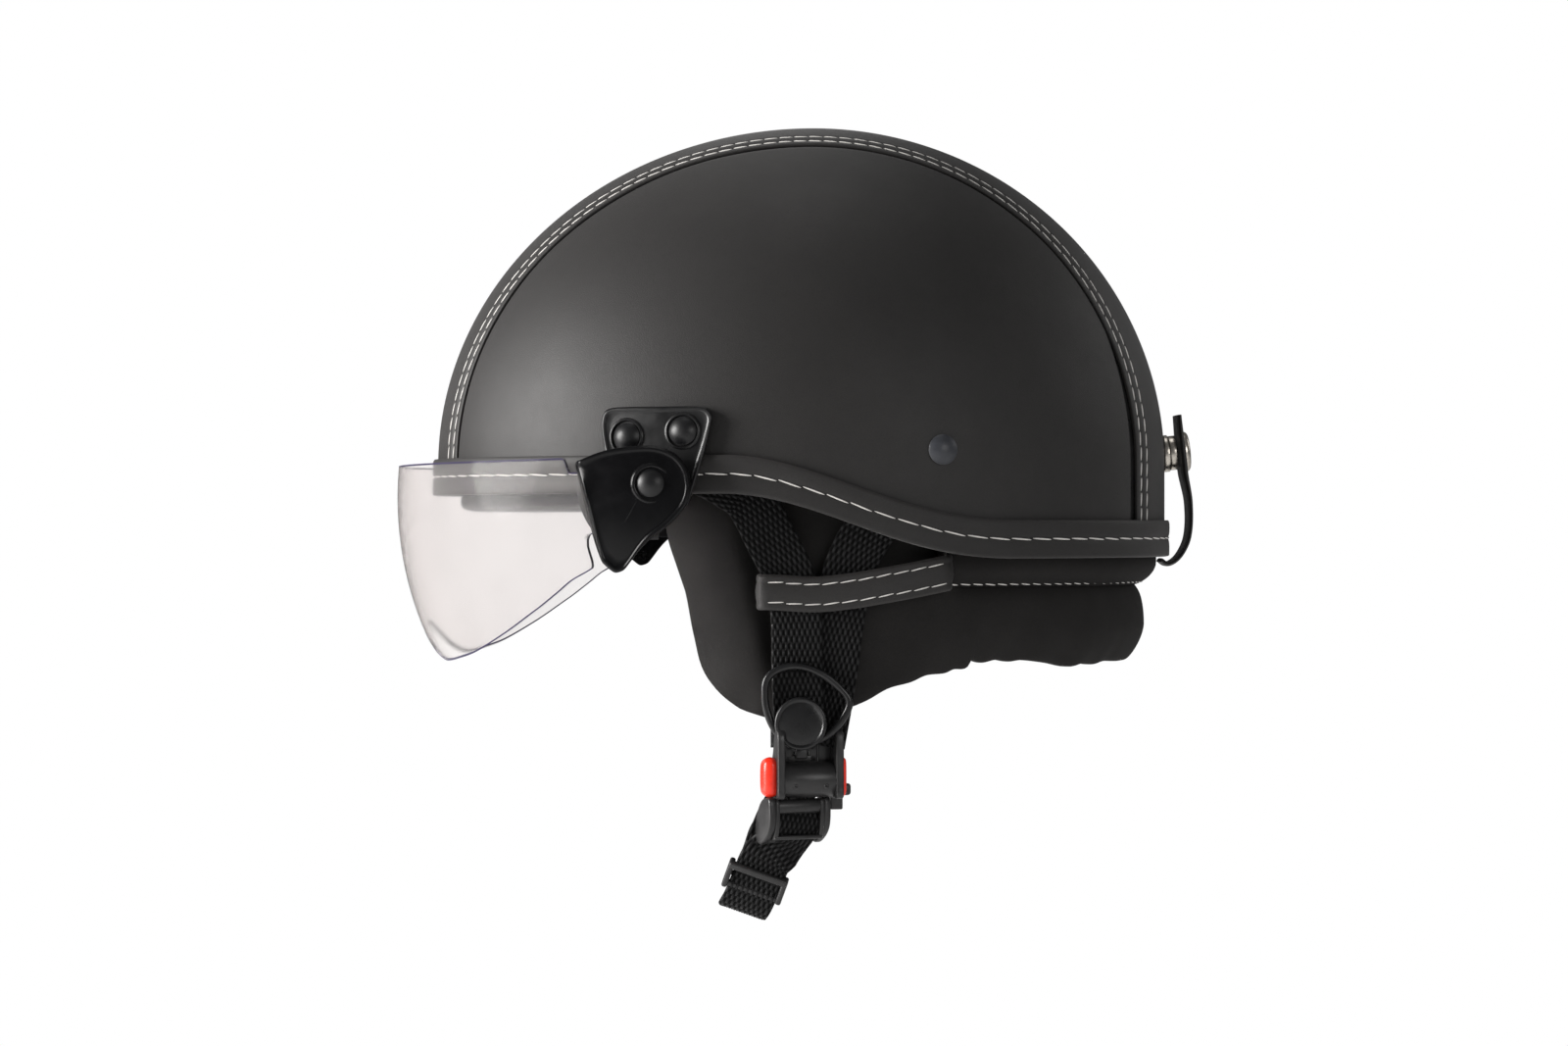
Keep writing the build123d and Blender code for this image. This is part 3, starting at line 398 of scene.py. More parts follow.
def rimmed_plate(name, outline, middle, surface, thickness, rim, dish, columns=220):
    """A plate on a curved surface: a raised rim round a dished face, rounded at its edge.

    outline and middle are (y, z) in millimetres; surface(y, z, out) gives the place out beyond the
    surface that the plate's back lies on.
    """
    edge = closed_line(outline, columns)
    # Rows as (share of the way from the middle, inset from the edge, height over the back)
    face = thickness - dish
    rows = [(share, None, face) for share in (0, 0.15, 0.3, 0.45, 0.6, 0.72, 0.82)]
    rows += [(1, rim + 1.0, face), (1, rim + 0.75, face + dish * 0.25), (1, rim + 0.45, face + dish * 0.8),
             (1, rim + 0.2, thickness), (1, rim * 0.6, thickness + 0.06), (1, 0.75, thickness),
             (1, 0.35, thickness - 0.15), (1, 0.10, thickness - 0.45), (1, 0, thickness - 0.9),
             (1, 0, 0.3), (1, 0.2, 0), (0.5, None, 0), (0, None, 0)]
    centre = Vector((*middle, 0))

    def place(u, v):
        spot = edge[round(u * columns)]
        share, inset, height = rows[round(v * (len(rows) - 1))]
        towards = centre - spot
        if inset is None:
            spot = centre - towards * min(share, 1 - (rim + 1.0) / towards.length)
        else:
            spot = spot + towards.normalized() * inset
        return surface(spot.x * MM, spot.y * MM, height * MM)

    return closed_grid(name, columns, len(rows) - 1, place, 50, merge=0.005 * MM)


def slab(name, outline, origin, right, up, thickness, rounding, count=64):
    """A flat part cut to a smooth outline of (right, up) points in millimetres, with rounded edges."""
    right, up = Vector(right).normalized(), Vector(up).normalized()
    points = closed_line(outline, count)[:-1]
    deselect()
    bpy.ops.mesh.primitive_circle_add(vertices=len(points), radius=1, fill_type="NGON")
    piece = bpy.context.object
    piece.name = name
    for vertex, point in zip(piece.data.vertices, points):
        vertex.co = Vector(origin) + (right * point.x + up * point.y) * MM
    edit(piece,
         ("extrude_region_move", {"TRANSFORM_OT_translate": {"value": right.cross(up) * thickness * MM}}),
         ("normals_make_consistent", {"inside": False}))
    round_over(piece, rounding * MM, 40, use_clamp_overlap=True)
    return shade(piece)


def joined(name, pieces):
    """Several shaped bodies as one piece."""
    deselect()
    for piece in pieces:
        piece.select_set(True)
    bpy.context.view_layer.objects.active = pieces[0]
    bpy.ops.object.join()
    pieces[0].name = name
    return pieces[0]


def rounded_block(name, centre, axes, size, rounding):
    """A block with rounded edges, turned to the given axes; sizes in millimetres."""
    deselect()
    bpy.ops.mesh.primitive_cube_add(size=1)
    piece = bpy.context.object
    piece.name = name
    turn = Matrix([Vector(axis).normalized() for axis in axes]).transposed()
    for vertex in piece.data.vertices:
        vertex.co = Vector(centre) + turn @ Vector([c * s * MM for c, s in zip(vertex.co, size)])
    round_over(piece, rounding * MM, use_clamp_overlap=True)
    return shade(piece)


def band_frames(route, across, count):
    """(place, crosswise direction, outward normal) along a flat band, and its length."""
    line, length = smooth_line(route, count)
    frames = []
    for place, direction, position in line:
        leg = min(int(position), len(across) - 2)
        hint = Vector(across[leg]).lerp(Vector(across[leg + 1]), position - leg)
        sideways = (hint - direction * hint.dot(direction)).normalized()
        frames.append((place, sideways, direction.cross(sideways)))
    return frames, length


def flat_band(name, route, across, width, thickness, spacing, rows, relief, squareness):
    """A band of webbing or leather; relief(along, over, side) lifts its faces."""
    _, length = smooth_line(route, 8)
    count = int(length / spacing)
    frames, length = band_frames(route, across, count)

    def place(u, v):
        centre, sideways, out = frames[round(u * count)]
        share = 1 - 4 * abs(v - 0.5)
        over = -share * width / 2
        side = sqrt(max(1 - abs(share) ** squareness, 0)) * (1 if v < 0.5 else -1)
        lift = side * thickness / 2 + relief(u * length, over, side)
        return centre + sideways * over + out * lift

    return closed_grid(name, count, rows, place, 50, (length, 2 * width))


# ---- Materials: shared effects are node groups, each shader stays in its own material ----
def node(tree, kind, inputs=None, **settings):
    """One shader node; each input takes a value or another node's output."""
    made = tree.nodes.new(f"ShaderNode{kind}")
    for key, value in settings.items():
        setattr(made, key, value)
    for key, value in (inputs or {}).items():
        if isinstance(value, bpy.types.NodeSocket):
            tree.links.new(value, made.inputs[key])
        else:
            made.inputs[key].default_value = value
    return made


def calc(tree, operation, *values, **settings):
    return node(tree, "Math", dict(enumerate(values)), operation=operation, **settings).outputs[0]


def between(tree, value, low, high, **to):
    """A value's share of the way from low to high, held at the ends."""
    return node(tree, "MapRange", {"Value": value, "From Min": low, "From Max": high, **to},
                clamp=True).outputs[0]


def clouds(tree, place, scale, detail, **more):
    """Smooth noise; scale is in cells to a metre."""
    return node(tree, "TexNoise", {"Vector": place, "Scale": scale, "Detail": detail, **more}).outputs


def effect(name, inputs, outputs):
    """An empty node group: Place and plain numbers go in, plain numbers come out."""
    tree = bpy.data.node_groups.new(name, "ShaderNodeTree")
    for label in ("Place", *inputs):
        tree.interface.new_socket(label, in_out="INPUT",
                                  socket_type="NodeSocketVector" if label == "Place" else "NodeSocketFloat")
    for label in outputs:
        tree.interface.new_socket(label, in_out="OUTPUT", socket_type="NodeSocketFloat")
    return tree, tree.nodes.new("NodeGroupInput").outputs, tree.nodes.new("NodeGroupOutput").inputs


def make_grain():
    """Pebbled leather or moulded texture: cells with fine creases between them."""
    tree, given, out = effect("pebble_grain", ["Size"], ["Height", "Cells"])
    place = given["Place"]
    scale = calc(tree, "DIVIDE", 1.0, given["Size"])
    bend = clouds(tree, place, calc(tree, "MULTIPLY", scale, 0.4), 2.0)["Color"]
    shift = node(tree, "VectorMath", {0: bend, "Scale": 1.2 * MM}, operation="SCALE")
    moved = node(tree, "VectorMath", {0: place, 1: shift.outputs[0]}, operation="ADD")
    cells = node(tree, "TexVoronoi", {"Vector": moved.outputs[0], "Scale": scale}, feature="DISTANCE_TO_EDGE")
    crease = between(tree, cells.outputs[0], 0.0, 0.16)
    fine = clouds(tree, place, calc(tree, "MULTIPLY", scale, 4.0), 3.0)["Fac"]
    tree.links.new(calc(tree, "ADD", crease, calc(tree, "MULTIPLY", fine, 0.35)), out["Height"])
    tree.links.new(crease, out["Cells"])
    return tree


def make_patches():
    """Broad uneven patches, for rubbed and dusty places and slow changes of colour."""
    tree, given, out = effect("uneven_patches", ["Size", "Amount"], ["Mask"])
    broad = clouds(tree, given["Place"], calc(tree, "DIVIDE", 1.0, given["Size"]), 4.0, Roughness=0.6)["Fac"]
    tree.links.new(calc(tree, "MULTIPLY", between(tree, broad, 0.35, 0.7), given["Amount"]), out["Mask"])
    return tree


def make_wear():
    """Light rubbing on convex edges, broken up by noise."""
    tree, given, out = effect("edge_wear", ["Amount"], ["Mask"])
    edge = node(tree, "NewGeometry").outputs["Pointiness"]
    breaks = clouds(tree, given["Place"], 900.0, 3.0)["Fac"]
    mask = calc(tree, "MULTIPLY", between(tree, edge, 0.52, 0.60), breaks)
    tree.links.new(calc(tree, "MULTIPLY", mask, given["Amount"]), out["Mask"])
    return tree


def make_weave():
    """Plain woven webbing: threads that pass over and under each other."""
    tree, given, out = effect("woven_threads", ["Along", "Over"], ["Height", "Bumps"])
    parts = node(tree, "SeparateXYZ", {0: given["Place"]}).outputs
    along, over = (
        calc(tree, "SINE", calc(tree, "MULTIPLY", parts[axis], calc(tree, "DIVIDE", pi, given[pitch])))
        for axis, pitch in ((0, "Along"), (1, "Over")))
    checks = calc(tree, "MULTIPLY", along, over)
    upper = node(tree, "Mix", {0: calc(tree, "GREATER_THAN", checks, 0.0), 2: calc(tree, "ABSOLUTE", over),
                               3: calc(tree, "ABSOLUTE", along)}, data_type="FLOAT")
    tree.links.new(upper.outputs[0], out["Height"])
    tree.links.new(between(tree, checks, -0.35, 0.75), out["Bumps"])
    return tree


MAKERS = {"grain": make_grain, "patches": make_patches, "wear": make_wear, "weave": make_weave}
EFFECTS = {}


def shaded(colour, factor):
    return tuple(channel * factor for channel in colour[:3]) + (1,)


class Surface:
    """A material with a Principled shader whose plain sockets are set by name."""

    def __init__(self, name, **sockets):
        self.material = bpy.data.materials.new(name)
        self.material.use_nodes = True
        self.tree = self.material.node_tree
        self.shader = self.tree.nodes["Principled BSDF"]
        for key, value in sockets.items():
            self.shader.inputs[key.replace("_", " ")].default_value = value
        self.place = node(self.tree, "TexCoord").outputs["Object"]

    def use(self, name, **inputs):
        """Places a shared effect in the material."""
        if name not in EFFECTS:
            EFFECTS[name] = MAKERS[name]()
        return node(self.tree, "Group", {"Place": self.place, **inputs}, node_tree=EFFECTS[name]).outputs

    def patches(self, size, amount):
        return self.use("patches", Size=size, Amount=amount)["Mask"]

    def noise(self, scale, detail):
        return clouds(self.tree, self.place, scale, detail)["Fac"]

    def tinted(self, dark, light, mask):
        """A colour between two, by a mask."""
        return node(self.tree, "Mix", {0: mask, 6: dark, 7: light}, data_type="RGBA").outputs[2]

    def spread(self, mask, low, high):
        """A mask turned into a value between low and high."""
        return node(self.tree, "MapRange", {"Value": mask, "To Min": low, "To Max": high}).outputs[0]

    def finish(self, base, roughness, height=None, strength=0.0, depth=0.0):
        """Links colour, roughness and relief to the shader and gives the material."""
        links = {"Base Color": base, "Roughness": roughness}
        if height:
            relief = node(self.tree, "Bump", {"Height": height, "Strength": strength, "Distance": depth})
            links["Normal"] = relief.outputs[0]
        for socket, value in links.items():
            self.tree.links.new(value, self.shader.inputs[socket])
        return self.material


def leather(name, colour, grain, bumps, roughness, sheen=0.10, gloss=0.42):
    """Leather: pebbled grain, uneven colour, rubbed high places and painted shade in the grain's creases."""
    skin = Surface(name, Sheen_Weight=sheen, Sheen_Roughness=0.45, Specular_IOR_Level=gloss)
    pebbles = skin.use("grain", Size=grain)
    patches = skin.patches(35 * MM, 0.5)
    base = skin.tinted(shaded(colour, 0.82), shaded(colour, 1.3), patches)
    base = skin.tinted(base, shaded(colour, 3.2), skin.use("wear", Amount=0.45)["Mask"])
    # Painted shade: the colour is darker in the creases between the grain's cells.
    base = skin.tinted((0.004, 0.004, 0.004, 1), base, skin.spread(pebbles["Cells"], 0.75, 1.0))
    return skin.finish(base, skin.spread(patches, roughness + 0.06, roughness - 0.05),
                       pebbles["Height"], bumps, 0.12 * MM)


def plastic(name, colour, roughness, coat=0.0, gloss=0.5):
    """Moulded plastic: a very fine texture, hand marks in the gloss, bright rubbed edges."""
    skin = Surface(name, Specular_IOR_Level=gloss, Coat_Weight=coat, Coat_Roughness=0.12)
    marks = skin.patches(9 * MM, 0.8)
    base = skin.tinted(colour, shaded(colour, 1.6), marks)
    base = skin.tinted(base, (0.10, 0.10, 0.10, 1), skin.use("wear", Amount=0.22)["Mask"])
    return skin.finish(base, skin.spread(marks, roughness - 0.04, roughness + 0.10),
                       skin.use("grain", Size=0.35 * MM)["Height"], 0.08, 0.05 * MM)


def metal(name, colour, roughness, metallic=1.0):
    """Plated or blackened metal: fine polishing marks and tarnish."""
    skin = Surface(name, Metallic=metallic)
    marks = skin.patches(4 * MM, 0.7)
    base = skin.tinted(colour, shaded(colour, 0.7), marks)
    worn = shaded(colour, 1.3) if metallic > 0.5 else (0.12, 0.12, 0.12, 1)
    base = skin.tinted(base, worn, skin.use("wear", Amount=1.0)["Mask"])
    return skin.finish(base, skin.spread(marks, roughness, roughness + 0.15),
                       skin.use("grain", Size=0.5 * MM)["Height"], 0.05, 0.02 * MM)


def webbing_material(name, colour):
    """Woven webbing that follows the strap's own UV map, with painted shade between its threads and a painted
    highlight on their tops.
    """
    skin = Surface(name, Sheen_Weight=0.0, Sheen_Roughness=0.35, Specular_IOR_Level=0.30)
    threads = skin.use("weave", Place=node(skin.tree, "TexCoord").outputs["UV"], Along=WEAVE_ALONG,
                       Over=WEAVE_OVER)
    # Painted shade and highlight: near black in the low places between threads, lighter on the raised
    # threads.
    base = skin.tinted(shaded(colour, 0.03), shaded(colour, 1.3), threads["Bumps"])
    dusty = calc(skin.tree, "MULTIPLY", skin.patches(6 * MM, 0.5), threads["Bumps"])
    fibres = calc(skin.tree, "MULTIPLY", skin.noise(4000.0, 2.0), 0.3)
    base = skin.tinted(base, shaded(colour, 3.0), dusty)
    return skin.finish(base, skin.spread(threads["Bumps"], 0.95, 0.42),
                       calc(skin.tree, "ADD", threads["Height"], fibres), 0.9, 0.30 * MM)


def cloth_material(name, colour):
    """Brushed lining: a soft nap with a fine knit under it, and painted shade between the knit's cells."""
    skin = Surface(name, Sheen_Weight=0.6, Sheen_Roughness=0.5, Specular_IOR_Level=0.2)
    nap = skin.noise(1800.0, 4.0)
    knit = skin.use("grain", Size=0.9 * MM)
    base = skin.tinted(shaded(colour, 0.7), shaded(colour, 1.6), skin.patches(18 * MM, 0.8))
    # Painted shade: the colour is darker in the gaps between the knit's cells.
    base = skin.tinted(shaded(colour, 0.5), base, skin.spread(knit["Cells"], 0.5, 1.0))
    return skin.finish(base, skin.spread(nap, 0.95, 0.75), calc(skin.tree, "ADD", knit["Height"], nap),
                       0.6, 0.3 * MM)


def foam_material(name, colour):
    """Expanded foam: fused beads with dark joints."""
    skin = Surface(name, Specular_IOR_Level=0.3)
    beads = skin.use("grain", Size=3.2 * MM)
    patches = skin.patches(25 * MM, 0.6)
    base = skin.tinted(shaded(colour, 0.4), colour, beads["Cells"])
    return skin.finish(skin.tinted(base, shaded(colour, 1.5), patches), skin.spread(patches, 0.7, 0.9),
                       beads["Height"], 0.5, 0.4 * MM)


def thread_material(name, colour):
    """Twisted sewing thread, a little soiled."""
    skin = Surface(name, Sheen_Weight=0.3, Specular_IOR_Level=0.3)
    twist = skin.noise(2500.0, 2.0)
    base = skin.tinted(colour, shaded(colour, 0.8), skin.patches(12 * MM, 0.6))
    base = skin.tinted(shaded(colour, 0.75), base, skin.spread(twist, 0.6, 1.2))
    return skin.finish(base, skin.spread(twist, 0.7, 0.9), twist, 0.5, 0.15 * MM)


def visor_material(name, tint, clear=0.955, depth=58.0):
    """Clear moulded sheet: a faint tint that deepens with thickness, a thin haze and fine dust."""
    skin = Surface(name, Base_Color=tint, Transmission_Weight=clear, IOR=1.12, Metallic=0.0,
                   Specular_IOR_Level=0.5)
    dust = skin.patches(16 * MM, 1.0)
    body = node(skin.tree, "VolumeAbsorption", {"Color": (0.62, 0.50, 0.46, 1), "Density": depth})
    skin.tree.links.new(body.outputs[0], skin.tree.nodes["Material Output"].inputs["Volume"])
    return skin.finish(skin.tinted(tint, shaded(tint, 0.98), dust), skin.spread(dust, 0.07, 0.12))


FINISHES = {}


def make_finishes(look):
    """Makes every finish: its material, and the slot in the record that it stands for."""
    hide, soft = look.leather, look.padding
    for slot, materials in {
        "black_leather": {
            "leather": leather("black_leather", hide, 0.75 * MM, 0.22, 0.50),
            "strip": leather("strip_leather", shaded(hide, 1.25), 0.75 * MM, 0.25, 0.47),
            "trim": leather("trim_leather", shaded(hide, 1.1), 0.7 * MM, 0.25, 0.50),
            "padding": leather("soft_leather", soft, 0.55 * MM, 0.16, 0.72, sheen=0.0, gloss=0.15),
            "keeper": leather("strap_leather", shaded(hide, 1.15), 0.8 * MM, 0.35, 0.5),
            "tab": leather("tab_leather", shaded(hide, 0.7), 0.8 * MM, 0.3, 0.42),
            # Near-black patches at the needle holes: painted shade standing in for the holes' shadow.
            "hole": plastic("painted_hole_shade", (0.0015, 0.0014, 0.0014, 1), 0.8),
            "thread": thread_material("off_white_thread", look.thread),
        },
        "black_plastic": {
            "bracket": plastic("gloss_bracket", (0.0036, 0.0036, 0.0040, 1), 0.32),
            "cover": plastic("gloss_cover", (0.0024, 0.0024, 0.0028, 1), 0.20, gloss=0.25),
            "plastic": plastic("satin_plastic", (0.006, 0.006, 0.0065, 1), 0.30),
            "buckle": plastic("buckle_plastic", (0.020, 0.0195, 0.020, 1), 0.33),
        },
        "red_plastic": {"button": plastic("red_plastic", look.button, 0.30, coat=0.2)},
        "shell_plastic": {"shell": plastic("shell_plastic", (0.012, 0.012, 0.012, 1), 0.3)},
        "blackened_steel": {
            "rivet": metal("blackened_rivet", (0.006, 0.006, 0.007, 1), 0.36, metallic=0.0),
            "anchor": metal("gunmetal_rivet", (0.045, 0.048, 0.057, 1), 0.34, metallic=0.0),
        },
        "bright_steel": {"nickel": metal("nickel", (0.72, 0.67, 0.60, 1), 0.22)},
        "webbing": {"webbing": webbing_material("black_webbing", (0.006, 0.006, 0.0065, 1))},
        "lining_fabric": {"lining": cloth_material("lining_cloth", (0.030, 0.030, 0.033, 1))},
        "liner_foam": {"foam": foam_material("foam_beads", (0.035, 0.035, 0.037, 1))},
        "clear_visor": {
            "visor": visor_material("clear_visor", look.tint),
            "visor_edge": visor_material("visor_edge", (0.80, 0.77, 0.80, 1), 0.9),
            # A dark band beside the top edge and the hem: painted shade for the dark line that the sheet's
            # edge shows.
            "visor_painted_edge_shade": visor_material("visor_painted_edge_shade", (0.09, 0.08, 0.15, 1), 0.45),
        },
    }.items():
        FINISHES.update({name: (material, slot) for name, material in materials.items()})


# ---- Stitching ----
def stitched_row(name, samples, pitch, length, thread, slant=0.0, sunk=0.3, shift=0.5, finish="thread"):
    """Thread stitches, or dark patches of painted shade at the needle holes, as one piece along (place,
    normal) samples; sizes in millimetres.
    """
    lengths = chain_lengths([place for place, _ in samples])
    count = max(int(lengths[-1] / (pitch * MM)), 1)
    length, thread = length * MM, thread * MM
    deselect()
    bpy.ops.mesh.primitive_uv_sphere_add(segments=8, ring_count=6, radius=0.5)
    master = bpy.context.object
    for vertex in master.data.vertices:
        vertex.co.z, vertex.co.y = vertex.co.y, power(vertex.co.z * 2, 0.8) / 2
    row = bmesh.new()
    for i, (at, share) in enumerate(even_steps(lengths, count, count, shift)):
        (first, up_first), (second, up_second) = samples[at], samples[at + 1]
        up = up_first.lerp(up_second, share).normalized()
        along = (second - first).normalized()
        along = (along - up * along.dot(up)).normalized()
        across = along.cross(up)
        wobble = noise.noise(Vector((i * 0.71, count * 0.37, 0.5)))
        lean = slant + 0.05 * wobble
        along, across = along * cos(lean) + across * sin(lean), across * cos(lean) - along * sin(lean)
        turn = Matrix((across * thread, along * length * (1 + 0.06 * wobble), up * thread * 0.9)).transposed()
        centre = first.lerp(second, share) + up * thread * (0.5 - sunk) + across * 0.1 * MM * wobble
        known = len(row.verts)
        row.from_mesh(master.data)
        row.verts.ensure_lookup_table()
        for vertex in row.verts[known:]:
            vertex.co = turn @ vertex.co + centre
    row.normal_update()
    bmesh.ops.recalc_face_normals(row, faces=row.faces)
    bpy.data.objects.remove(master)
    mesh = bpy.data.meshes.new(name)
    row.to_mesh(mesh)
    row.free()
    finish_piece(shade(new_object(name, mesh), 80), finish, ROOT)


# ---- Operators: one for each piece or group of like pieces ----
class HELMET_OT_stage(bpy.types.Operator):
    """Sets up the camera, the lights, the world and the floor"""
    bl_idname = "helmet.stage"
    bl_label = "Stage"

    def execute(self, context):
        scene = context.scene
        scene.view_settings.view_transform = "Standard"
        deselect()
        self.camera(scene)
        self.lights(scene.helmet_look)
        self.world(scene)
        self.floor()
        return {"FINISHED"}

    def camera(self, scene):
        """Looks straight at the wearer's left side, from level with the rim."""
        sight = Vector((1480 * MM, -12 * MM, -23.2 * MM))
        bpy.ops.object.camera_add(location=sight, rotation=(radians(90), 0, radians(90)))
        scene.camera = bpy.context.object
        scene.camera.data.lens = 83.25
        scene.camera.data.sensor_width = 36

    def lights(self, look):
        warm, plain = (1.0, 0.985, 0.97), (1.0, 0.99, 0.98)
        for name, place, size, strength, colour in (
                ("key", (0.38, -1.50, 0.30), 0.9, look.key_power, warm),
                ("top", (-0.15, 0.0, 1.5), 0.8, look.fill_power * 0.6, plain),
                ("side", (1.5, 1.0, 0.4), 0.8, look.fill_power * 1.5, plain),
                ("rear", (-0.5, 1.5, 0.6), 0.8, look.fill_power * 0.55, plain)):
            aim = (Vector((0, 0, -0.02)) - Vector(place)).to_track_quat("-Z", "Y").to_euler()
            bpy.ops.object.light_add(type="AREA", location=place, rotation=aim)
            lamp = bpy.context.object
            lamp.name = f"{name}_light"
            lamp.data.shape = "DISK"
            lamp.data.size = size
            lamp.data.energy = strength
            lamp.data.color = colour

    def rays(self, tree):
        """1 for rays from the eye and those that pass through the visor, and 1 for reflected rays."""
        rays = node(tree, "LightPath").outputs
        seen = calc(tree, "ADD", rays["Is Camera Ray"], rays["Is Transmission Ray"], use_clamp=True)
        return seen, rays["Is Glossy Ray"]

    def world(self, scene):
        world = bpy.data.worlds.new("pale_studio")
        scene.world = world
        world.use_nodes = True
        tree = world.node_tree
        light = tree.nodes["Background"]
        light.inputs["Color"].default_value = (1, 1, 1, 1)
        seen, reflected = self.rays(tree)
        dim = node(tree, "MapRange", {"Value": reflected, "To Min": 0.23, "To Max": 0.12}).outputs[0]
        strength = node(tree, "Mix", {0: seen, 2: dim, 3: 1.0}, data_type="FLOAT").outputs[0]
        tree.links.new(strength, light.inputs["Strength"])

    def floor(self):
        """A pale floor far enough down to be clear of the chin strap when it hangs open."""
        deselect()
        bpy.ops.mesh.primitive_circle_add(vertices=96, radius=6.0, fill_type="NGON", location=(0, 0, 0))
        floor = bpy.context.object
        floor.name = "floor"
        for vertex in floor.data.vertices:
            vertex.co.z = CAD_BOX[0].z - 165 * MM
        material = bpy.data.materials.new("pale_floor")
        material.use_nodes = True
        tree = material.node_tree
        diffuse = tree.nodes["Principled BSDF"]
        diffuse.inputs["Base Color"].default_value = (0.9, 0.9, 0.9, 1)
        diffuse.inputs["Roughness"].default_value = 0.9
        glow = node(tree, "Emission", {"Color": (1, 1, 1, 1), "Strength": 1.0})
        place = node(tree, "TexCoord").outputs["Object"]
        away = node(tree, "VectorMath", {0: place}, operation="LENGTH").outputs["Value"]
        fade = between(tree, away, 0.15, 0.5, **{"To Min": 0.9, "To Max": 1.0})
        share = calc(tree, "MULTIPLY", self.rays(tree)[0], fade)
        mixed = node(tree, "MixShader", {0: share, 1: diffuse.outputs[0], 2: glow.outputs[0]})
        tree.links.new(mixed.outputs[0], tree.nodes["Material Output"].inputs["Surface"])
        floor.data.materials.append(material)


# Each stitch row's distance from the strip's edge, how deep the strip's face lies under the dome's skin,
# and the mean radius of the strip's arc, which spaces its places evenly
STRIP_ROWS = (3.6 * MM, 9.2 * MM)
STRIP_SUNK = 0.25 * MM
STRIP_RADIUS = 141 * MM


def strip_relief(from_edge):
    """The leather's height over its own face near an edge: pressed in at each row, round at the edge."""
    dip = sum(bump(from_edge - row, 1.0 * MM) for row in STRIP_ROWS)
    puff = 0.35 * MM * bump(from_edge - 6.4 * MM, 2.0 * MM)
    puff += 0.2 * MM * bump(from_edge - 1.4 * MM, 1.0 * MM)
    return puff - 0.35 * MM * dip


def strip_place(dome, u, over, inset=None):
    """A place on the crown strip and the strip's half width there.

    u runs from the brow over the top to the nape; over is a share of the half width, or with an
    inset the side (1 or -1) on which the place lies that far inside the edge.
    """
    above_rim = 1.8 * MM
    front_drop, rear_drop = -dome.rim[0][1] - above_rim, -dome.rim[3][1] - above_rim
    arc = pi * STRIP_RADIUS
    run = u * (front_drop + arc + rear_drop) - front_drop
    x = 0.0
    for _ in range(3):
        inward = sqrt(1 - (x / dome.wide) ** 2)
        if run < 0:
            y, z = -dome.front * inward, run
        elif run > arc:
            y, z = dome.rear * inward, arc - run
        else:
            turn = pi * run / arc
            y = -(dome.front if turn < pi / 2 else dome.rear) * cos(turn) * inward
            z = dome.high * sin(turn) * inward
        edge = dome.strip_edge(y)
        x = over * edge if inset is None else over * (edge - inset)
    return Vector((x, y, z)), edge


class HELMET_OT_crown_strip(bpy.types.Operator):
    """Makes the wide leather strip over the crown with its four rows of stitches"""
    bl_idname = "helmet.crown_strip"
    bl_label = "Crown strip"

    def execute(self, context):
        dome = Dome(context.scene.helmet_sizes)
        # The grid's rows are closer over the margin beside each edge, which takes them from a split on
        edge, margin, split = 48 * MM, 14 * MM, 0.55

        def place(u, v):
            share = 2 * v - 1
            side = 1 if share >= 0 else -1
            inner = min(abs(share) / split, 1) * (edge - margin)
            over = inner + max(abs(share) - split, 0) / (1 - split) * margin
            point, true_edge = strip_place(dome, u, side * over / edge)
            from_edge = (edge - over) * true_edge / edge
            return point + dome.normal(point) * (strip_relief(from_edge) - STRIP_SUNK)

        piece = shaped_grid("crown_strip_leather", 300, 96, place)
        apply(piece, "SOLIDIFY", thickness=1.7 * MM, offset=1)
        close_up(piece, fill=False)
        round_over(piece, 0.55 * MM, 60)
        finish_piece(shade(piece, 60), "strip", ROOT, "crown_strip")
        for side, label in SIDES:
            for inset, row in zip(STRIP_ROWS, ("outer", "inner")):
                samples = []
                for i in range(401):  # from trim to trim
                    point, _ = strip_place(dome, 0.012 + 0.976 * i / 400, side, inset)
                    up = dome.normal(point)
                    samples.append((point + up * (strip_relief(inset) - STRIP_SUNK), up))
                stitched_row(f"crown_stitches_{row}_{label}", samples, 5.9, 5.4, 0.62, slant=0.11 * side)
        return {"FINISHED"}


class HELMET_OT_side_covers(bpy.types.Operator):
    """Makes the leather panels on the left and right of the crown strip"""
    bl_idname = "helmet.side_covers"
    bl_label = "Side covers"

    def execute(self, context):
        dome = Dome(context.scene.helmet_sizes)
        # The panel lies a little under the strip's face and starts and ends at the strip's tucked in edge
        skin, tuck = -0.7 * MM, 0.5 * MM
        start, end = asin(45.4 * MM / dome.wide), pi - asin(59.3 * MM / dome.wide)
        for side, label in SIDES:

            def place(u, v):
                turn = (start + end) / 2 - (end - start) / 2 * cos(pi * u)
                y = 0.0
                for _ in range(4):
                    edge = dome.strip_edge(y) + tuck
                    lift = acos(min(edge / ((dome.wide + skin) * sin(turn)), 1))
                    y = -dome.reach(turn) * cos(lift) * cos(turn)
                low = dome.rim_height(dome.along(turn)) + 3 * MM
                drop = -low / dome.high
                run = v * (lift + drop) - drop
                height = dome.high * sin(run) if run > 0 else run * dome.high
                point = dome.at(turn, height, skin)
                swell = 0.28 * MM * noise.noise(point * 22 + Vector((3.1, 0, 0)))
                sink = -1.1 * MM * bump((lift - run) * dome.high, 1.9 * MM)
                point += dome.normal(point) * (swell + sink)
                return Vector((side * point.x, point.y, point.z))

            piece = shaped_grid(f"side_leather_{label}", 220, 120, place)
            apply(piece, "SOLIDIFY", thickness=1.0 * MM, offset=-side)
            close_up(piece, fill=False)
            finish_piece(shade(piece, 60), "leather", ROOT, f"side_cover_{label}")
        return {"FINISHED"}


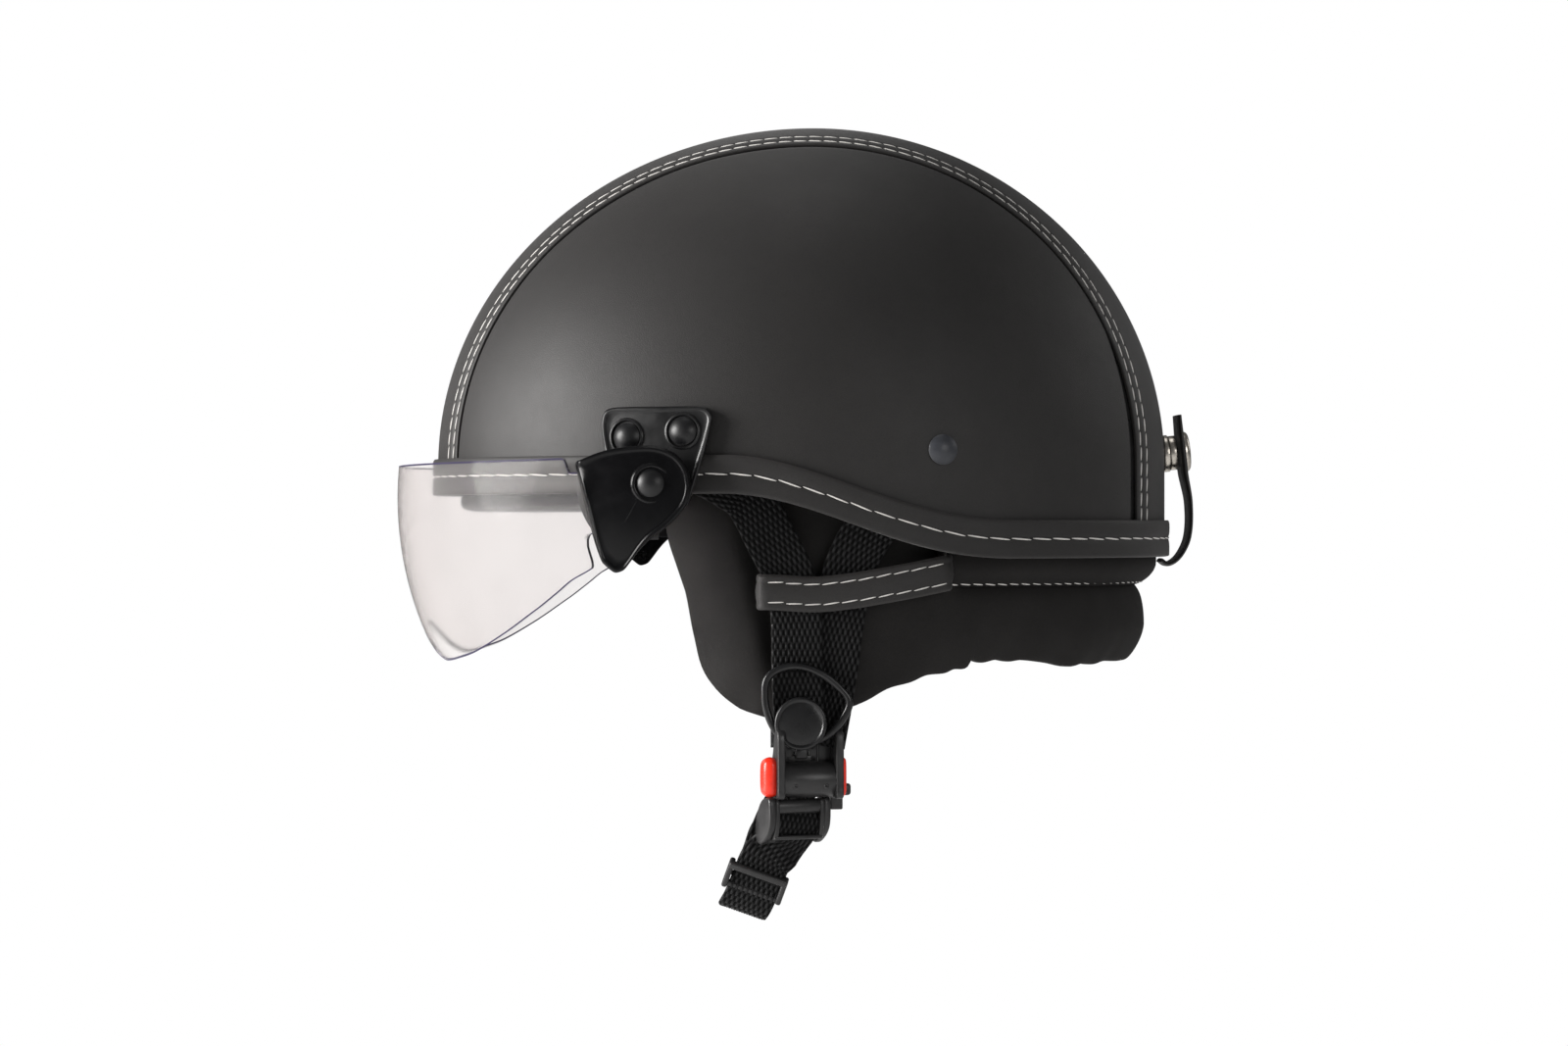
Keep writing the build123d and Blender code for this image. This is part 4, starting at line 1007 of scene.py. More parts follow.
class HELMET_OT_rim_trim(bpy.types.Operator):
    """Makes the leather band that wraps the shell's lower edge, with its row of stitches"""
    bl_idname = "helmet.rim_trim"
    bl_label = "Rim trim"
    # Section as (out from the skin, share of the trim's height), in millimetres and shares
    section = (
        (1.45, 0.0), (1.75, 0.03), (1.8, 0.10), (1.85, 0.22), (1.8, 0.34), (1.62, 0.42), (1.4, 0.47),
        (1.4, 0.53), (1.62, 0.58), (1.8, 0.66), (1.85, 0.78), (1.8, 0.90), (1.6, 0.96), (1.2, 0.995),
        (0.7, 0.98), (0.25, 0.93), (0.05, 0.85), (0.0, 0.6), (0.0, 0.3), (-0.3, 0.14), (-3.0, 0.125),
        (-6.2, 0.12), (-6.6, 0.06), (-6.2, 0.0), (-3.0, -0.01), (0.4, -0.015),
    )

    def execute(self, context):
        dome = Dome(context.scene.helmet_sizes)
        columns, rows = 420, len(self.section)

        def place(u, v):
            turn = 2 * pi * u
            out, rise = self.section[round(v * rows) % rows]
            point = dome.at(turn, dome.rim_height(dome.along(turn)) + rise * dome.trim, out * MM)
            soft = 0.22 * MM * noise.noise(Vector((point.x * 30, point.y * 30, rise * 2)))
            return point + dome.normal(point) * (soft if out > 0.5 else 0)

        piece = closed_grid("rim_trim_leather", columns, rows, place, 70, fill=False)
        finish_piece(piece, "trim", ROOT, "rim_trim")
        samples = []
        for i in range(1201):  # once round, from one side of the lapped seam at the nape to the other
            turn = pi - 0.06 + (2 * pi - 0.10) * i / 1200
            point = dome.at(turn, dome.rim_height(dome.along(turn)) + 0.5 * dome.trim, 1.4 * MM)
            samples.append((point, dome.normal(point)))
        stitched_row("rim_trim_stitches", samples, 9.4, 8.9, 0.62, slant=0.05)
        # Flat dark patches at each stitch's ends paint the shade of the needle holes.
        stitched_row("rim_trim_painted_hole_shades", samples, 9.4, 2.0, 0.9, slant=0.75, sunk=0.84, shift=0.0,
                     finish="hole")
        return {"FINISHED"}


# ---- Padded flaps, curtain and neck roll ----
# The flap's front edge as (height, place from the middle) and the skirt's hem as (place, height)
FLAP_FRONT = (
    (-98.5, -17), (-94, -31), (-82, -44), (-67, -49), (-48, -53), (-28, -60), (-5, -62),
)
SKIRT_HEM = (
    (-19, -98.3), (-2, -98.8), (10, -95.8), (18, -92), (29, -86.6), (38.6, -84.2), (45, -81.8), (52.8, -81),
    (56, -79.6), (61, -79.2), (63, -76.4), (68, -77.2), (74, -76.2), (80, -77), (85, -76.5), (97, -77.9),
    (105.6, -79.6), (111, -78.6), (117, -79.2), (122, -78.2), (128, -78.6),
)
SEAM_Z = -46.8 * MM


def padded_piece(name, columns, rows, place, finish, stuffing, *nodes, **closing):
    """A closed soft piece on the helmet."""
    piece = closed_grid(name, columns, rows, place, 75, **closing)
    finish_piece(piece, finish, ROOT, *nodes)


class HELMET_OT_skirt(bpy.types.Operator):
    """Makes the padded ear flaps and the neck roll, sewn as one soft leather skirt"""
    bl_idname = "helmet.skirt"
    bl_label = "Padded skirt"

    def execute(self, context):
        self.flaps_and_roll()
        self.curtain()
        return {"FINISHED"}

    def flaps_and_roll(self):
        wide, rear, thick = 100 * MM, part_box("neck_roll")[1].y, 13.2 * MM

        def place(u, v):
            """u runs from the left flap's front round the nape to the right one's, v round the section."""
            side = 1 if u < 0.5 else -1
            share = 1 - (1 - abs(2 * u - 1)) ** 1.15
            around = 2 * pi * v
            rise = 0.5 + 0.5 * power(sin(around), 0.85)
            depth = 0.5 + 0.5 * power(cos(around), 0.42)
            turn = pi - share * (pi - acos(0.25))
            for _ in range(4):
                y = -rear * cos(turn)
                low = read_line(SKIRT_HEM, y / MM) * MM
                join = clamped((y - 30 * MM) / (28 * MM))
                top = -9 * MM + (SEAM_Z + 9 * MM) * join * join * (3 - 2 * join)
                height = low + rise * (top - low)
                front_y = read_line(FLAP_FRONT, height / MM) * MM
                turn = pi - share * (pi - acos(clamped(-front_y / rear, -1)))
            # Rounded off at the front ends, bevelled under the rear and bellied between seam and hem
            end = 1 - max(share - 0.90, 0) / 0.10
            body = thick * (1 - (1 - end) ** 2.4)
            above = (height - low) / (35 * MM)
            rearward = clamped((y - 20 * MM) / (40 * MM))
            chamfer = 4.5 * MM * max(1 - above * 2.4, 0) ** 1.5 * rearward
            belly = 1.5 * MM * sin(pi * clamped(rise)) * rearward
            out = -thick / 2 + body * (depth - 0.5) + (belly - chamfer) * depth
            # Folds that gather at the hem, soft dents, the sewn seam and the groove that the strap presses in
            folds = 1.5 * bump(height - low, 11 * MM) * noise.noise(Vector((y * 95, height * 28, 4.2)))
            soft = 0.55 * noise.noise(Vector((y * 26, height * 34, 1.7)))
            seam = 0.6 * bump(height - SEAM_Z, 3.5 * MM) * join
            beside = (y / MM + 24.5 + (height / MM + 20) * 0.2) / 5.5
            pressed = 4.2 * exp(-beside**2) * clamped((height / MM + 92) / 20)
            out += (folds + soft - seam - pressed) * MM * (1 if depth > 0.5 else 0.3)
            return Vector((abs((wide + out) * sin(turn)) * side, -(rear + out) * cos(turn), height))

        padded_piece("padded_skirt", 560, 96, place, "padding", 0.75, "ear_flap_left", "ear_flap_right",
                     "neck_roll", merge=0.02 * MM)

    def curtain(self):
        wide, rear, thick = 104 * MM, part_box("neck_curtain")[1].y, 12 * MM

        def place(u, v):
            turn = radians(90 + 21) + (pi - radians(42)) * u
            around = 2 * pi * v
            rise = 0.5 + 0.5 * power(sin(around), 0.8)
            depth = power(cos(around), 0.45)
            low, top = SEAM_Z - 1.5 * MM, -29 * MM
            height = low + rise * (top - low)
            bulge = (1.8 - 6.2 * (1 - min(rise / 0.5, 1)) ** 2) * MM
            y = -rear * cos(turn)
            folds = noise.noise(Vector((y * 55, height * 20, 7.7 if turn < pi else 2.3)))
            out = -thick / 2 + depth * thick / 2 + (bulge + 0.8 * MM * folds if depth > 0 else 0)
            return Vector(((wide + out) * sin(turn), -(rear + out) * cos(turn), height))

        padded_piece("curtain_leather", 300, 56, place, "padding", 0.5, "neck_curtain")
        samples = []
        for i in range(601):
            turn = radians(90 + 22) + (pi - radians(44)) * i / 600
            point = Vector(((wide - 4.0 * MM) * sin(turn), -(rear - 4.4 * MM) * cos(turn), SEAM_Z))
            samples.append((point, Vector((sin(turn), -cos(turn), 0))))
        stitched_row("skirt_seam_stitches", samples, 5.2, 4.6, 0.55, slant=0.1)


# ---- Webbing: the straps' routes, in millimetres, repeat those of the solids they stand for ----
FRONT_X = 105.5
REAR_X = FRONT_X - 1.8
FRONT_STRAP = (
    (106.4, -47, 2), (106.1, -41.4, -3.5), (FRONT_X + 0.5, -33.5, -8), (FRONT_X + 0.3, -25.4, -13.9),
    (FRONT_X, -17.2, -29), (FRONT_X, -10.3, -43), (FRONT_X, -7.5, -57), (FRONT_X, -7, -80),
    (FRONT_X, -6, -106.5),
)
REAR_STRAP = (
    (105.3, 36, -9), (104.8, 29, -17), (REAR_X + 0.8, 21, -25), (REAR_X, 13, -40), (REAR_X, 9.2, -58),
    (REAR_X, 6.2, -80), (REAR_X - 0.6, 1.4, -107.5),
)
SLIDE_TOP, SLIDE_BOTTOM = Vector((101.4, -18.9, -151)), Vector((94.6, -25.6, -167.2))
SLIDE_MIDDLE = SLIDE_TOP.lerp(SLIDE_BOTTOM, 0.5)
SLIDE_DOWN = (Vector((94.2, -25.4, -167.2)) - Vector((100.6, -14, -151))).normalized()
SLIDE_ACROSS = (0, 0.942, -0.336)
CHIN_STRAP = (
    (105.2, -6.9, -131.5), (106.5, -7.4, -137), (105.2, -9.4, -142.6), (102.4, -14.4, -146.8), SLIDE_TOP,
    SLIDE_MIDDLE, SLIDE_BOTTOM, (90.6, -27.6, -171), (84, -28, -172.2), (60, -27.3, -172.3),
    (0, -25.5, -172.3), (-70, -23, -172.3), (-90, -21, -168), (-99, -14.5, -152), (-102.6, -6.8, -138),
    (-103.3, -5, -130), (-103.5, -4.5, -121.2),
)
LADDER_YAW = radians(26)
LADDER_ALONG = (-sin(LADDER_YAW), cos(LADDER_YAW), 0)
# Half a wave of the weave along and across the webbing
WEAVE_ALONG, WEAVE_OVER = 2.6 * MM, 1.02 * MM


def metres(route, side=1):
    return [Vector((x * side, y, z)) * MM for x, y, z in route]


def woven_relief(along, over, side):
    """Rows of threads across the webbing, each bump between two gaps of the next row."""
    checks = sin(pi * along / WEAVE_ALONG) * sin(pi * (9.75 * MM - over) / WEAVE_OVER)
    return side * 0.30 * MM * power(checks, 0.8)


class HELMET_OT_straps(bpy.types.Operator):
    """Weaves the straps, the chin strap and its tail"""
    bl_idname = "helmet.straps"
    bl_label = "Webbing straps"

    def execute(self, context):
        self.width = context.scene.helmet_sizes.webbing_width
        for side, label in SIDES:
            for name, route in (("front_strap", FRONT_STRAP), ("rear_strap", REAR_STRAP)):
                self.webbing(f"{name}_{label}", metres(route, side), [FRONT_BACK] * len(route), ROOT,
                             f"{name}_{label}")
        turns = [LADDER_ALONG] * 3 + [SLIDE_ACROSS] * 6 + [FRONT_BACK] * (len(CHIN_STRAP) - 9)
        self.webbing("chin_strap", metres(CHIN_STRAP), turns, "chin_strap_half", "chin_strap",
                     spacing=0.8 * MM)
        self.hanger_loop()
        self.tail()
        self.buckle_loop()
        return {"FINISHED"}

    def webbing(self, name, route, turns, body, *nodes, spacing=0.55 * MM):
        piece = flat_band(f"{name}_webbing", route, turns, self.width, 1.5 * MM, spacing, 120,
                          woven_relief, 14)
        finish_piece(piece, "webbing", body, *nodes)

    def hanger_loop(self):
        """The end of the chin strap, sewn round the bar on the right side."""
        centre = Vector((-103.5, -4.5, -118)) * MM
        route = [centre + Vector((sin(a), 0, cos(a))) * (3.2 * MM)
                 for a in (pi + 2 * pi * i / 16 for i in range(17))]
        self.webbing("hanger_loop", route, [FRONT_BACK] * 17, "chin_strap_half")

    def tail(self):
        """The loose end, which lies behind the strap in the slider."""
        across = Vector(SLIDE_ACROSS)
        across = (across - SLIDE_DOWN * across.dot(SLIDE_DOWN)).normalized()
        step = SLIDE_DOWN.cross(across) * -2.0
        route = (
            (98.4, -11.6, -131.5), (98.6, -15.8, -140), SLIDE_TOP + step + Vector((-0.4, 0.6, 1.6)),
            SLIDE_MIDDLE + step, SLIDE_BOTTOM + step - SLIDE_DOWN,
        )
        self.webbing("chin_strap_tail", metres(route), [LADDER_ALONG] * 2 + [SLIDE_ACROSS] * 3,
                     "chin_strap_half", "chin_strap_tail")

    def buckle_loop(self):
        """The webbing that turns back round the ladder lock's rod, between the outer run and the tail."""
        centre = Vector((101.9, -9.2, -131.6)) * MM
        out = Vector((cos(LADDER_YAW), sin(LADDER_YAW), 0))
        route = [centre + (out * cos(a) * 3.6 + UP * sin(a) * 3.0) * MM
                 for a in (radians(-10 + 200 * i / 10) for i in range(11))]
        self.webbing("buckle_loop", route, [LADDER_ALONG] * 11, "chin_strap_half")


KEEPER = (
    (101.4, -8, -49.6), (101.5, -17, -49.5), (102.4, -20.6, -49.5), (104.9, -21.8, -49.4),
    (107.4, -20.6, -49.4), (108.2, -17, -49.4), (108.2, 0, -50.2), (107.9, 13, -49), (106.4, 26, -46.9),
    (104.2, 37, -44.9), (102.2, 45.5, -43.2), (100.7, 50.0, -42.3), (98.4, 51.4, -42), (95, 50.6, -42),
)
KEEPER_ROWS = (-3.8 * MM, 3.8 * MM)


class HELMET_OT_keepers(bpy.types.Operator):
    """Makes the leather keeper that holds the two straps together, on each side"""
    bl_idname = "helmet.keepers"
    bl_label = "Strap keepers"

    def execute(self, context):
        for side, label in SIDES:
            route = metres(KEEPER, side)
            turns = [UP_DOWN] * len(route)
            name = f"strap_keeper_{label}"
            piece = flat_band(f"{name}_leather", route, turns, 13.6 * MM, 1.7 * MM, 0.8 * MM, 48,
                              self.relief, 9)
            finish_piece(piece, "keeper", ROOT, name)
            # The stitches start past the fold round the front strap and end at the rear fold
            frames, _ = band_frames(route, turns, 300)
            for offset, row in zip(KEEPER_ROWS, ("lower", "upper")):
                samples = []
                for centre, across, out in frames[64:]:
                    if centre.y > 49.5 * MM:
                        break
                    up = out if out.x * side > 0 or out.y > 0.5 else -out
                    samples.append((centre + across * offset + up * 0.62 * MM, up))
                stitched_row(f"strap_keeper_stitches_{row}_{label}", samples, 6.7, 6.3, 0.52,
                             slant=-0.06 * side)
        return {"FINISHED"}

    def relief(self, along, over, side):
        """Pressed in at both stitch rows, with a soft swell between them."""
        dips = sum(bump(over - row, 0.9 * MM) for row in KEEPER_ROWS)
        return side * (0.3 * MM * bump(over, 3 * MM) - 0.22 * MM * dips)


# ---- Comfort lining and foam ----
FOAM_INSIDE = -29.9 * MM


class HELMET_OT_lining(bpy.types.Operator):
    """Makes the padding inside the foam: crown pad, headband and brow pad"""
    bl_idname = "helmet.lining"
    bl_label = "Lining"

    def execute(self, context):
        dome = Dome(context.scene.helmet_sizes)
        self.crown_pad(dome)
        self.headband(dome)
        self.brow_pad(dome)
        return {"FINISHED"}

    def crown_pad(self, dome):
        line = 3 * MM

        def place(u, v):
            """v runs from the outer face's top over the lower edge and up the inner face."""
            turn = 2 * pi * u
            floor = asin(34.4 * MM / (dome.high + FOAM_INSIDE))
            lift = floor + (pi / 2 - floor) * abs(cos(pi * v)) ** 1.6
            edge = min((lift - floor) / radians(5), 1)
            depth = (0 if v < 0.5 else 1) * sqrt(1 - (1 - edge) ** 2) * 6.4 * MM
            channel = 0.0
            if v > 0.5:
                across = dome.wide * cos(lift) * sin(turn)
                along = dome.rear * cos(lift) * cos(turn)
                ring = (lift - radians(52)) * 100 * MM
                channel = 2.2 * MM * max(bump(across, line), bump(along, line), bump(ring, line))
                channel = min(channel, depth * 0.6)
            out = FOAM_INSIDE - depth + channel
            return Vector(((dome.wide + out) * cos(lift) * sin(turn),
                           -(dome.reach(turn) + out) * cos(lift) * cos(turn), (dome.high + out) * sin(lift)))

        padded_piece("crown_pad_cloth", 144, 120, place, "lining", 0.6, "crown_pad", fill=False)

    def headband(self, dome):

        def place(u, v):
            turn = 2 * pi * u
            around = 2 * pi * v
            y = -(dome.reach(turn) + FOAM_INSIDE) * cos(turn)
            low, top = dome.rim_height(y) + 2.2 * MM, 31.6 * MM
            height = low + (0.5 + 0.5 * power(sin(around), 0.8)) * (top - low)
            quilt = abs(sin(9 * turn)) ** 0.5
            depth = 0.5 - 0.5 * power(cos(around), 0.4)
            return dome.at(turn, height, FOAM_INSIDE - depth * (4.6 + 1.9 * quilt) * MM)

        padded_piece("headband_cloth", 360, 48, place, "lining", 0.6, "headband", fill=False)

    def brow_pad(self, dome):
        reach = acos(64 / 116.4)
        low, top = -18.6 * MM, -10.6 * MM

        def place(u, v):
            turn = reach * (2 * u - 1)
            around = 2 * pi * v
            end = sqrt(max(1 - (2 * u - 1) ** 12, 0))
            rise = 0.5 + 0.5 * power(sin(around), 0.7)
            depth = 0.5 - 0.5 * power(cos(around), 0.45)
            height = (low + top) / 2 + (rise - 0.5) * (top - low) * end
            out = -9.4 * MM - (0.5 + (depth - 0.5) * end) * 26.5 * MM
            ripple = 0.25 * MM * noise.noise(Vector((turn * 14, height * 60, 3.0)))
            return dome.at(turn, height, out + ripple)

        padded_piece("brow_pad_cloth", 220, 48, place, "lining", 0.7, "brow_pad")


# ---- Hardware ----
class HELMET_OT_hardware(bpy.types.Operator):
    """Finishes the hard parts that keep their solids' shapes: shell, foam, washers, hanger and snap"""
    bl_idname = "helmet.hardware"
    bl_label = "Hardware"
    # Node, body, finish and edge rounding in millimetres
    parts = (
        ("outer_shell", ROOT, "shell", 0),
        ("foam_liner", ROOT, "foam", 0),
        ("rivet_washers", ROOT, "nickel", 0.1),
        ("hinge_washers", ROOT, "nickel", 0.08),
        ("visor_backing_left", "visor", "bracket", 0.2),
        ("visor_backing_right", "visor", "bracket", 0.2),
        ("chin_hanger", ROOT, "plastic", 0.3),
        ("snap_stud", ROOT, "nickel", 0.3),
        ("snap_socket", "rear_tab", "nickel", 0.2),
        ("snap_cap", "rear_tab", "nickel", 0.3),
    )

    def execute(self, context):
        for name, body, finish, rounding in self.parts:
            machined(name, body, finish, rounding * MM)
        return {"FINISHED"}


# The rivet as (radius, height), with a head radius of 5.3; heads grow and shanks change length from it
RIVET_HEAD = 5.3
RIVET = (
    (0, 2.4), (1.1, 2.33), (2.1, 2.1), (3.0, 1.74), (3.8, 1.3), (4.45, 0.82), (4.95, 0.38), (5.2, 0.12),
    (5.3, 0.0), (5.2, -0.15), (2.2, -0.2), (2.2, -9.0), (0, -9.0),
)
PIVOT_PLACE = Vector((0, -61.5 * MM, -8.5 * MM))
VISOR_CENTRE = Vector((0, -50 * MM, -13 * MM))
VISOR_AXES = Vector((124 * MM, 119 * MM, 129 * MM))
BRACKET_RIVETS = ((-71.5, 9.4), (-50.1, 11.3))
ANCHOR_RIVET = (48.0, 4.5)
BRACKET_OUTLINE = (
    (-80.2, 18.9), (-77.6, 20.3), (-72, 20.7), (-60, 20.7), (-46, 20.7), (-41.4, 20.1), (-39.2, 17.4),
    (-39.6, 13), (-42, 3), (-46, -10), (-48.6, -16.6), (-51.5, -18.3), (-62, -18.4), (-73, -18.3),
    (-75.9, -16.4), (-77.6, -8), (-79.8, 3), (-81.3, 14),
)
BRACKET_WELL = (
    (5.7, 0.2), (6.0, 0.75), (6.35, 0.95), (6.7, 0.85), (7.0, 0.5), (7.2, 0.0), (5.7, -0.4), (5.7, 0.2),
)
BRACKET_BOSS = ((0, 5.2), (7.2, 5.2), (7.9, 4.6), (8.0, 0), (0, 0))
COVER_OUTLINE = (
    (-90.5, -1.6), (-90.2, -0.2), (-88.6, 0.5), (-80.1, 3.7), (-70.3, 5.4), (-60.5, 5.6), (-53.1, 3.0),
    (-48.6, -2), (-46.9, -8), (-47.4, -13.4), (-50.2, -18.9), (-56.4, -25.3), (-62.2, -29.5), (-66.2, -33.4),
    (-71.4, -40.2), (-72.6, -41.2), (-75.0, -41.9), (-76.4, -41.4), (-79.4, -38.9), (-80.5, -37.6),
    (-83.0, -30.8), (-85.4, -22), (-88.3, -10.5),
)
COVER_WELL = (
    (6.0, 0.9), (6.2, 1.7), (6.6, 1.95), (7.1, 1.9), (7.6, 1.5), (7.9, 0.9), (8.0, 0.2), (6.0, 0.2),
    (6.0, 0.9),
)


def on_pivot(side, out):
    """A place on the visor's pivot line, at a distance in millimetres from the middle."""
    return PIVOT_PLACE + Vector((side * out * MM, 0, 0))


class HELMET_OT_hinge(bpy.types.Operator):
    """Makes the visor's brackets, cover plates and pivots, and the rivets through the shell"""
    bl_idname = "helmet.hinge"
    bl_label = "Visor hinge"

    def execute(self, context):
        dome = Dome(context.scene.helmet_sizes)
        for side, label in SIDES:
            self.bracket(dome, side, label)
            self.cover(side, label)
        for name, spots, head, out, length, finish in (
                ("bracket_rivets", BRACKET_RIVETS, 5.3, 3.9, 13.0, "rivet"),
                ("strap_anchor_rivets", (ANCHOR_RIVET,), 5.75, -0.15, 9.0, "anchor")):
            bases = [dome.on_side(y * MM, z * MM, out * MM, side) for side, _ in SIDES for y, z in spots]
            self.rivets(name, head, length, [(base, dome.normal(base)) for base in bases], finish)
        pivots = [(on_pivot(side, 125.7), (side, 0, 0)) for side, _ in SIDES]
        self.rivets("pivot_rivets", 5.5, 12, pivots, "rivet")
        return {"FINISHED"}

    def rivets(self, name, head, length, spots, finish):
        """A rivet at each (place, axis), with a head radius and a length in millimetres."""
        grow = head / RIVET_HEAD
        profile = [(r * (grow if h > -0.18 else 1), h if h > -5 else -length) for r, h in RIVET]
        heads = [turned(name, profile, base, axis) for base, axis in spots]
        finish_piece(joined(f"{name}_turned", heads), finish, ROOT, name)

    def bracket(self, dome, side, label):
        """The plate riveted to the shell, with a raised rim, a boss and a lipped well at each rivet."""

        def surface(y, z, out):
            point = dome.on_side(y, z, -0.6 * MM, side)
            over_trim = clamped((6 * MM - z) / (6 * MM))
            return point + Vector((side, 0, 0)) * (out + 0.9 * MM * over_trim)

        parts = [rimmed_plate("bracket", BRACKET_OUTLINE, (-60, 2), surface, 4.6, 1.2, 0.4)]
        for y, z in BRACKET_RIVETS:
            base = dome.on_side(y * MM, z * MM, 3.2 * MM, side)
            parts.append(turned("well", BRACKET_WELL, base, dome.normal(base)))
        parts.append(turned("boss", BRACKET_BOSS, on_pivot(side, 113), (side, 0, 0)))
        name = f"visor_bracket_{label}"
        finish_piece(joined(f"{name}_moulded", parts), "bracket", ROOT, name)

    def cover(self, side, label):
        """The cover plate on the visor, dished inside a broad raised rim."""

        def surface(y, z, out):
            over = (y - VISOR_CENTRE.y) / (VISOR_AXES.y + out)
            up = (z - VISOR_CENTRE.z) / (VISOR_AXES.z + out)
            x = (VISOR_AXES.x + out) * sqrt(1 - over**2 - up**2)
            flange = -90.4 * MM - (z + 2 * MM) * 0.235 + 2.0 * MM
            return Vector((side * (x - 1.2 * max(flange - y, 0)), y, z))

        plate = rimmed_plate("cover", COVER_OUTLINE, (-66, -13), surface, 3.2, 1.3, 0.45)
        well = turned("well", COVER_WELL, on_pivot(side, 124.4), (side, 0, 0))
        name = f"visor_cover_{label}"
        finish_piece(joined(f"{name}_moulded", [plate, well]), "cover", "visor", name)


YOKE_OUTLINE = (
    (-19.4, -81.2), (-13.4, -77.0), (-5.4, -76.2), (3.4, -79.4), (10.2, -84.9), (14.0, -90.6), (12.4, -96.2),
    (7.1, -103), (0.5, -107), (-5.4, -108.2), (-11.5, -106.6), (-16, -102.8), (-19.3, -96.2), (-20.6, -88.8),
)
YOKE_MIDDLE = Vector((-2.5, -91.5, 0))
BADGE = (
    (0, 2.35), (3, 2.3), (6, 2.12), (7.6, 1.92), (8.1, 1.75), (8.4, 1.95), (8.8, 2.3), (9.3, 2.35),
    (9.7, 2.1), (9.95, 1.5), (9.95, 0.3), (9.7, 0.0), (2.5, 0.0), (2.5, -8.0), (4.0, -8.0), (4.0, -8.9),
    (0, -8.9),
)
BADGE_PLACE = (109.8, -5.7, -99.0)


class HELMET_OT_yokes(bpy.types.Operator):
    """Makes the yoke that joins the straps and the plain round boss riveted through it"""
    bl_idname = "helmet.yokes"
    bl_label = "Yokes"

    def execute(self, context):
        columns, rows = 160, 16
        ring = closed_line(YOKE_OUTLINE, columns)
        for side, label in SIDES:

            def place(u, v):
                spot = ring[round(u * columns)]
                inward = (YOKE_MIDDLE - spot).normalized()
                turn = 2 * pi * v
                spot = spot + inward * (1.35 + 1.45 * power(cos(turn), 0.75))
                out = 108.2 + 1.6 * power(sin(turn), 0.75)
                return Vector((side * out, spot.x, spot.y)) * MM

            loop = closed_grid(f"yoke_{label}_ring", columns, rows, place, 60, fill=False)
            finish_piece(loop, "plastic", ROOT, f"yoke_{label}")
            name = f"yoke_badge_{label}"
            badge = turned(f"{name}_turned", BADGE, metres([BADGE_PLACE], side)[0], (side, 0, 0), 72)
            finish_piece(badge, "plastic", ROOT, name)
        return {"FINISHED"}


BUCKLE_CENTRE, BUCKLE_YAW = Vector((104.5, -3.2, 0)), radians(14)
CHEEK = (
    (6.6, -127.0), (2, -127.6), (-3.5, -127.2), (-6.3, -124.2), (-6.7, -120.5), (-5.6, -116), (-2.2, -111),
    (-0.6, -107), (0.8, -102.8), (4.2, -101.3), (6.4, -103), (6.9, -108), (7.0, -116), (7.0, -123),
)
BARREL = ((0, -10.6), (6.6, -10.6), (6.8, -10.2), (6.8, 10.0), (6.6, 10.4), (0, 10.4))
DIMPLE = ((0.35, 0.3), (0.7, 0.42), (0.95, 0.2), (1.0, -0.3), (0.35, -0.3), (0.35, 0.3))
# The housing's frame, catches and web, as (along, out, height), size and rounding
HOUSING_BLOCKS = (
    ((-6.9, -2.2, -103.5), (3.2, 1.6, 23), 0.5), ((2.9, -2.2, -103.5), (3.2, 1.6, 23), 0.5),
    ((-2, -2.2, -108.4), (12.6, 1.6, 2.6), 0.5), ((-2, -2.2, -112.6), (12.6, 1.6, 2.6), 0.5),
    ((-2, -2.2, -95), (12.6, 1.6, 2.6), 0.5), ((-2, -1.0, -110.5), (4.6, 2.2, 4.4), 0.6),
    ((7.6, -2.6, -108.4), (5.4, 1.4, 12), 0.5), ((13.2, -7.6, -125.6), (5.0, 3, 14), 0.6),
    ((17.4, -7.6, -125.0), (3.4, 2.6, 4.6), 1.2),
)
# The release buttons as (name, place across the buckle, length across it), in millimetres
BUTTONS = (("front", -14.6, 7.4), ("rear", 12.6, 4.2))
BUTTON_GAP = 0.3
LADDER_CENTRE = Vector((104.0, -7.95, 0))
LADDER_SIDE = (
    (4.6, -127.7), (5.2, -131), (5.2, -135), (4.4, -138.6), (2.2, -141.6), (-1.6, -144.2), (-4.6, -145.0),
    (-7.2, -143.4), (-8.0, -140), (-7.4, -135.6), (-5.2, -131), (-2.4, -128), (0.8, -127.0), (3.0, -126.9),
)
# The rib that each side of the ladder lock has in front of the webbing
LADDER_RIB = (
    (4.6, -127.9), (5.2, -131), (5.2, -135), (4.7, -138.8), (3.4, -142.4), (2.2, -143.2), (1.4, -142.6),
    (2.6, -138.6), (3.0, -134.8), (3.0, -131), (2.8, -128.2),
)
# The ladder lock's cheeks and ribs as (outline, start along it, thickness, rounding)
LADDER_CHEEKS = (
    (LADDER_SIDE, -12.95, 2.9, 0.8), (LADDER_SIDE, 10.05, 2.9, 0.8),
    (LADDER_RIB, -10.3, 1.8, 0.6), (LADDER_RIB, 8.5, 1.8, 0.6),
)
# Its bars and the two prongs of the tongue
LADDER_BLOCKS = (
    ((0, 1.3, -130.5), (24, 7.4, 5.4), 2.2), ((0, -3.6, -143.2), (24, 3.0, 2.6), 1.0),
    ((0, 2.9, -142.2), (20.4, 1.9, 1.7), 0.7), ((-1.4, 0.6, -121.5), (3.6, 2.4, 16), 0.8),
    ((6.2, 0.6, -121.5), (3.6, 2.4, 16), 0.8),
)
